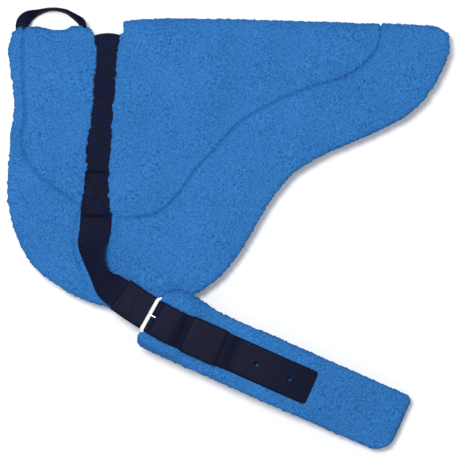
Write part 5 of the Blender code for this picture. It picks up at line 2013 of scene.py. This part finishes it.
@dataclass
class Buckle(Part):
    """A wire buckle with its chape and keeper on one end of the girth.

    The wire is what other pieces make room for, and the one shown is a little thicker. The chape's tail
    and knee are places along the girth and behind the base bar. Turns are in degrees.
    """

    side: Side
    wire: float = 2.8 * MM
    wire_shown: float = 3.0 * MM
    bar_spread: float = 0.45
    width: float = 70 * MM
    length: float = 40.4 * MM
    corner: float = 7 * MM
    past_end: float = 6.4 * MM
    tongue: float = 1.6 * MM
    clearance: float = 0.5 * MM
    off_room: float = 5.2 * MM
    chape_width: float = 47 * MM
    chape_thickness: float = 2.5 * MM
    chape_tail: float = 125 * MM
    chape_knee: float = 17 * MM
    chape_ease: float = 4 * MM
    chape_turns: tuple = (68, 275)
    slit_width: float = 7 * MM
    tongue_start: float = -190
    keeper_length: float = 61 * MM
    keeper_wall: float = 2.5 * MM
    keeper_bend: float = 2.2 * MM
    keeper_crown: float = 0.4 * MM
    strap_step: float = 1.5 * MM

    @property
    def bar_reach(self) -> float:
        """Distance of the base bar from the girth's end."""
        return self.length - self.past_end

    @property
    def base_height(self) -> float:
        """Height of the base bar over the girth's outer face."""
        return self.wire + self.clearance + 2 * self.tongue + 2 * self.plan.gap

    @property
    def far_height(self) -> float:
        """Height of the far bar over the girth's outer face."""
        return self.plan.billet_thickness + 2 * self.plan.gap + self.wire

    @property
    def tail_height(self) -> float:
        """Height of the doubled chape over the girth's outer face."""
        return 2 * (self.chape_thickness + self.plan.gap)

    @property
    def keeper_room(self) -> float:
        """Height inside the keeper over the doubled chape."""
        if self.side is Side.OFF:
            return self.off_room
        return self.plan.billet_thickness + 3 * self.plan.gap

    def matrix(self) -> Matrix:
        """Place of the girth's end."""
        return self.girth.near_face() if self.side is Side.NEAR else self.girth.off_face()

    def turn(self) -> float:
        """Turn of the frame about its base bar."""
        if self.side is Side.OFF:
            return 0.0
        line = self.girth.billet_line
        return -math.atan2(line(-self.past_end) - line(self.bar_reach), self.length)

    def frame_matrix(self) -> Matrix:
        """Place of the frame and tongue."""
        if self.side is Side.OFF:
            return self.matrix()
        bar = Vector((self.bar_reach, 0.0, 0.0))
        pivot = Vector((self.bar_reach, self.girth.billet_line(self.bar_reach), 0.0))
        turn = Matrix.Rotation(self.turn(), 4, "Z")
        return self.matrix() @ Matrix.Translation(pivot) @ turn @ Matrix.Translation(-bar)

    def bodies(self) -> tuple[str, str, str]:
        """Bodies that carry the chape and keeper, the frame, and the tongue."""
        if self.side is Side.NEAR:
            return "near_strap", "near_strap", "near_tongue"
        return "girth_lower", "off_buckle", "off_tongue"

    def build(self) -> None:
        """Build the frame, the tongue, the chape and the keeper."""
        girth_body, frame_body, tongue_body = self.bodies()
        name = self.side.value
        route = self.frame_route()
        frame_item = tube(f"{name}_frame", route, [self.wire_shown] * len(route), True)
        self.spread_bar(frame_item.data)
        route = self.tongue_route()
        radii = [self.tongue] * (len(route) - 2) + [self.tongue * 0.85, self.tongue * 0.45]
        tongue_item = tube(f"{name}_tongue_wire", route, radii, False)
        for item, node, body in ((frame_item, "buckle_frame", frame_body),
                                 (tongue_item, "buckle_tongue", tongue_body)):
            item.data.transform(self.frame_matrix())
            dress(item, self.finishes.chrome, (f"{name}_{node}",))
            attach(item, body)
        for item in (self.chape(), self.keeper()):
            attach(item, girth_body)

    def frame_route(self) -> list[Vector]:
        """Middle of the frame's wire, a rounded oblong that leans from the base bar to the far bar."""
        half = self.width / 2 - self.wire
        rise = self.far_height - self.base_height
        corners = ((-self.past_end, -half, 1, 1), (-self.past_end, half, 1, -1),
                   (self.bar_reach, half, -1, -1), (self.bar_reach, -half, -1, 1))
        starts = (math.pi * 1.5, math.pi, math.pi / 2, 0.0)
        points = []
        for (x, y, x_sign, y_sign), start in zip(corners, starts):
            centre = Vector((x + x_sign * self.corner, y + y_sign * self.corner))
            for step in range(9):
                turn = start - math.pi / 2 * step / 8
                place = centre + self.corner * Vector((math.cos(turn), math.sin(turn)))
                share = (self.bar_reach - place.x) / self.length
                points.append(raised(place, self.base_height + rise * share))
        return points

    def spread_bar(self, mesh: bpy.types.Mesh) -> None:
        """Flatten the far bar, so that it shows wider from above than its wire is thick."""
        straight = self.width / 2 - self.wire - self.corner
        for vert in mesh.vertices:
            near_bar = 1.0 - ease((vert.co.x + self.past_end - self.wire) / self.wire)
            share = near_bar * (1.0 - ease((abs(vert.co.y) - straight) / self.corner))
            vert.co.x += (vert.co.x + self.past_end) * self.bar_spread * share

    def tongue_route(self) -> list[Vector]:
        """Middle of the tongue's wire, an open loop round the base bar and a shank to the far bar."""
        loop = self.wire + self.clearance + self.tongue
        tip_height = self.far_height + self.wire + self.plan.gap + self.tongue
        start = math.radians(self.tongue_start)
        points = []
        for step in range(25):
            turn = start + (math.pi / 2 - start) * step / 24
            points.append(Vector((self.bar_reach + loop * math.cos(turn), 0.0,
                                  self.base_height + loop * math.sin(turn))))
        top = points[-1].z
        tip = -self.past_end - self.wire
        shank = self.bar_reach - self.length / 3
        for step in range(1, 7):
            share = step / 6
            points.append(Vector((self.bar_reach + (shank - self.bar_reach) * share, 0.0,
                                  top + (tip_height - top) * ease(share))))
        for share in (0.35, 0.7, 0.93, 1.0):
            points.append(Vector((shank + (tip - shank) * share, 0.0, tip_height)))
        return points

    def chape(self) -> bpy.types.Object:
        """Build the chape, a strap doubled round the base bar."""
        gap = self.plan.gap
        reach = self.wire + gap + self.chape_thickness / 2
        low = gap + self.chape_thickness / 2
        high = 2 * gap + 1.5 * self.chape_thickness
        first, last = (math.radians(turn) for turn in self.chape_turns)
        steps = 20
        turns = [first + (last - first) * step / steps for step in range(steps + 1)]
        wrap = [Vector((self.bar_reach + reach * math.cos(turn), 0.0,
                        self.base_height + reach * math.sin(turn))) for turn in turns]
        knee = self.bar_reach + self.chape_knee
        places = (self.chape_tail, knee + self.chape_ease, knee)
        route = [Vector((place, 0.0, high)) for place in places] + wrap
        route += [Vector((place, 0.0, low)) for place in reversed(places)]
        strap = Strap(f"{self.side.value}_chape_strap", route, self.chape_width, self.chape_thickness,
                      spacing=self.strap_step, across=Vector((0.0, 1.0, 0.0)))
        item = strap.build()
        punch(item, slit_mesh(self.bar_reach, self.base_height, self.slit_width))
        if self.side is Side.NEAR:
            self.lean(item.data)
        item.data.transform(self.matrix())
        return dress(item, self.finishes.strap, (f"{self.side.value}_chape",))

    def lean(self, mesh: bpy.types.Mesh) -> None:
        """Turn the loop of the chape with the base bar, and leave its tail straight."""
        middle = self.girth.billet_line(self.bar_reach)
        slope = math.tan(self.turn())
        length = self.girth.keeper_start - self.bar_reach
        for vert in mesh.vertices:
            fade = 1.0 - ease((vert.co.x - self.bar_reach) / length)
            vert.co.x -= (vert.co.y - middle) * slope * fade

    def keeper(self) -> bpy.types.Object:
        """Build the keeper, a strap bridged over the chape and the billet."""
        half = self.plan.billet_width / 2 + self.clearance + self.keeper_wall / 2
        top = self.tail_height + self.keeper_room + self.keeper_wall / 2
        foot = self.plan.gap
        middle = self.girth.keeper_start + self.keeper_length / 2
        bend = self.keeper_bend
        route = [Vector((middle, -half, foot)), Vector((middle, -half, top - bend))]
        for sign, start in ((-1, math.pi), (1, math.pi / 2)):
            for step in range(1, 6):
                turn = start - math.pi / 2 * step / 6
                route.append(Vector((middle, sign * (half - bend) + bend * math.cos(turn),
                                     top - bend + bend * math.sin(turn))))
            if sign < 0:
                route.append(Vector((middle, 0.0, top + self.keeper_crown)))
        route += [Vector((middle, half, top - bend)), Vector((middle, half, foot))]
        strap = Strap(f"{self.side.value}_keeper_strap", route, self.keeper_length, self.keeper_wall,
                      spacing=self.strap_step, across=Vector((1.0, 0.0, 0.0)))
        item = strap.build()
        item.data.transform(self.matrix())
        return dress(item, self.finishes.strap, (f"{self.side.value}_keeper",))


def punch(item: bpy.types.Object, cutter: bpy.types.Mesh) -> None:
    """Cut a hole or a slot through an object.

    Args:
        item: the object to cut.
        cutter: the closed mesh to cut with, which is used up.
    """
    tool = new_object("punch", cutter)
    boolean = item.modifiers.new("punch", "BOOLEAN")
    boolean.operation = "DIFFERENCE"
    boolean.solver = "EXACT"
    boolean.object = tool
    apply_modifiers(item)
    bpy.data.objects.remove(tool)


def hole_mesh(centre: Vector, radius: float, length: float = 24 * MM) -> bpy.types.Mesh:
    """An upright rod to punch a hole with."""
    bm = bmesh.new()
    bmesh.ops.create_cone(bm, cap_ends=True, segments=24, radius1=radius, radius2=radius, depth=length)
    bmesh.ops.translate(bm, vec=centre, verts=bm.verts)
    return mesh_of("hole", bm)


def box_tool(low: Sequence[float], high: Sequence[float], place: Matrix) -> bpy.types.Mesh:
    """A box between two corners, in a place, to cut with.

    Args:
        low: the corner with the least X, Y and Z.
        high: the corner with the most.
        place: where the box stands.

    Returns:
        The box as a mesh.
    """
    bm = bmesh.new()
    bmesh.ops.create_cube(bm, size=1.0)
    low, high = Vector(low), Vector(high)
    bmesh.ops.scale(bm, vec=high - low, verts=bm.verts)
    bmesh.ops.translate(bm, vec=(low + high) / 2, verts=bm.verts)
    bmesh.ops.transform(bm, matrix=place, verts=bm.verts)
    return mesh_of("box", bm)


def slot_mesh(place: Matrix, span: tuple[float, float], width: float) -> bpy.types.Mesh:
    """A box to cut the slot that the tongue passes through."""
    below, above = 30 * MM, 60 * MM
    return box_tool((span[0], -width / 2, -below), (span[1], width / 2, above), place)


def slit_mesh(reach: float, height: float, width: float) -> bpy.types.Mesh:
    """A box to cut the slit of the chape that lets the tongue out."""
    over = 10 * MM
    return box_tool((-over, -width / 2, -over), (reach + over, width / 2, 2 * height + over),
                    Matrix.Identity(4))


# The studio


@dataclass
class Studio:
    """A white floor, a white room, one soft key light and the photo's straight-down camera.

    Attributes:
        middle: the point of the pad's plane that the camera looks down at.
        height: the camera's height over the floor.
        view: the long side of what the camera sees, at the pad's level.
        level: the height of the pad's level.
        room: the room's brightness at the floor, and its rise to the ceiling.
        white: what the floor shines by itself, to the camera and in mirrors.
    """

    middle: tuple = (0.1025, -0.1706)
    height: float = 3.04
    view: float = 0.7675
    level: float = 0.040
    sensor: float = 36.0
    floor_half: float = 4.0
    key_place: tuple = (-0.46, 0.46, 3.40)
    key_size: float = 0.8
    key_power: float = 84.0
    room: tuple = (0.0, 0.56)
    white: float = 0.14

    def build(self) -> None:
        """Build the floor, the light and the camera."""
        self.floor()
        self.key()
        self.world()
        self.camera()

    def floor(self) -> None:
        """Lay the floor."""
        bm = bmesh.new()
        bmesh.ops.create_grid(bm, x_segments=1, y_segments=1, size=self.floor_half)
        item = new_object("floor", mesh_of("floor", bm))
        material, tree, shader = new_material("white_studio_floor")
        noise = add_node(tree, "ShaderNodeTexNoise", values={"Scale": 3.0, "Detail": 2.0})
        colour = ramp(tree, noise.outputs["Fac"], ((0.0, "#F7F7F7"), (1.0, "#F9F9F9")))
        tree.links.new(colour.outputs["Color"], shader.inputs["Base Color"])
        shader.inputs["Roughness"].default_value = 1.0
        shader.inputs["Specular IOR Level"].default_value = 0.0
        seen = weigh(tree, self.clear_rays(tree), [self.white] * 3)
        clear = add_node(tree, "ShaderNodeEmission", values={"Color": linear("#FFFFFF")},
                         links={"Strength": seen})
        both = add_node(tree, "ShaderNodeAddShader",
                        links={0: shader.outputs["BSDF"], 1: clear.outputs["Emission"]})
        tree.links.new(both.outputs["Shader"], tree.nodes["Material Output"].inputs["Surface"])
        item.data.materials.append(material)

    @staticmethod
    def clear_rays(tree: bpy.types.NodeTree) -> list[bpy.types.NodeSocket]:
        """Sockets that say whether a ray comes from the camera, off a mirror or through glass."""
        path = add_node(tree, "ShaderNodeLightPath")
        return [path.outputs[f"Is {ray} Ray"] for ray in ("Camera", "Glossy", "Transmission")]

    def key(self) -> None:
        """Hang the soft key light to the upper left, so that shadows fall to the lower right."""
        light = bpy.data.lights.new("key", "AREA")
        light.shape = "DISK"
        light.size = self.key_size
        light.energy = self.key_power
        item = new_object("key", light)
        item.location = self.key_place
        aim = Vector((*self.middle, 0.0)) - item.location
        item.rotation_euler = aim.to_track_quat("-Z", "Y").to_euler()

    def world(self) -> None:
        """Make a white room: white to the camera and in mirrors, and lit from its ceiling."""
        world = bpy.data.worlds.new("white_room")
        world.use_nodes = True
        tree = world.node_tree
        camera, glossy, through = self.clear_rays(tree)
        clear = calc(tree, "ADD", calc(tree, "ADD", camera, glossy), through, clamp=True)
        place = add_node(tree, "ShaderNodeTexCoord").outputs["Generated"]
        height = add_node(tree, "ShaderNodeSeparateXYZ", links={0: place}).outputs["Z"]
        low, rise = self.room
        dim = calc(tree, "MULTIPLY_ADD", height, rise, low, clamp=True)
        strength = calc(tree, "MAXIMUM", clear, dim)
        background = tree.nodes["Background"]
        background.inputs["Color"].default_value = linear("#FFFFFF")
        tree.links.new(strength, background.inputs["Strength"])
        bpy.context.scene.world = world

    def camera(self) -> None:
        """Hang the camera straight over the pad."""
        data = bpy.data.cameras.new("camera")
        data.sensor_width = self.sensor
        data.lens = self.sensor * (self.height - self.level) / self.view
        item = new_object("camera", data)
        item.location = (*self.middle, self.height)
        bpy.context.scene.camera = item


def main() -> None:
    """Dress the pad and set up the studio."""
    logging.basicConfig(level=logging.INFO, format="%(name)s: %(message)s")
    finishes = Finishes()
    plan = PadPlan()
    girth = GirthPlan(plan)
    for part in (FoldedPad, Surcingle, Handle, Girth, NearStrap, OffStrap):
        part(plan, girth, finishes).build()
    for side in Side:
        Buckle(plan, girth, finishes, side).build()
    Studio().build()
    bpy.context.scene.view_settings.view_transform = "Standard"


if __name__ == "__main__":
    main()
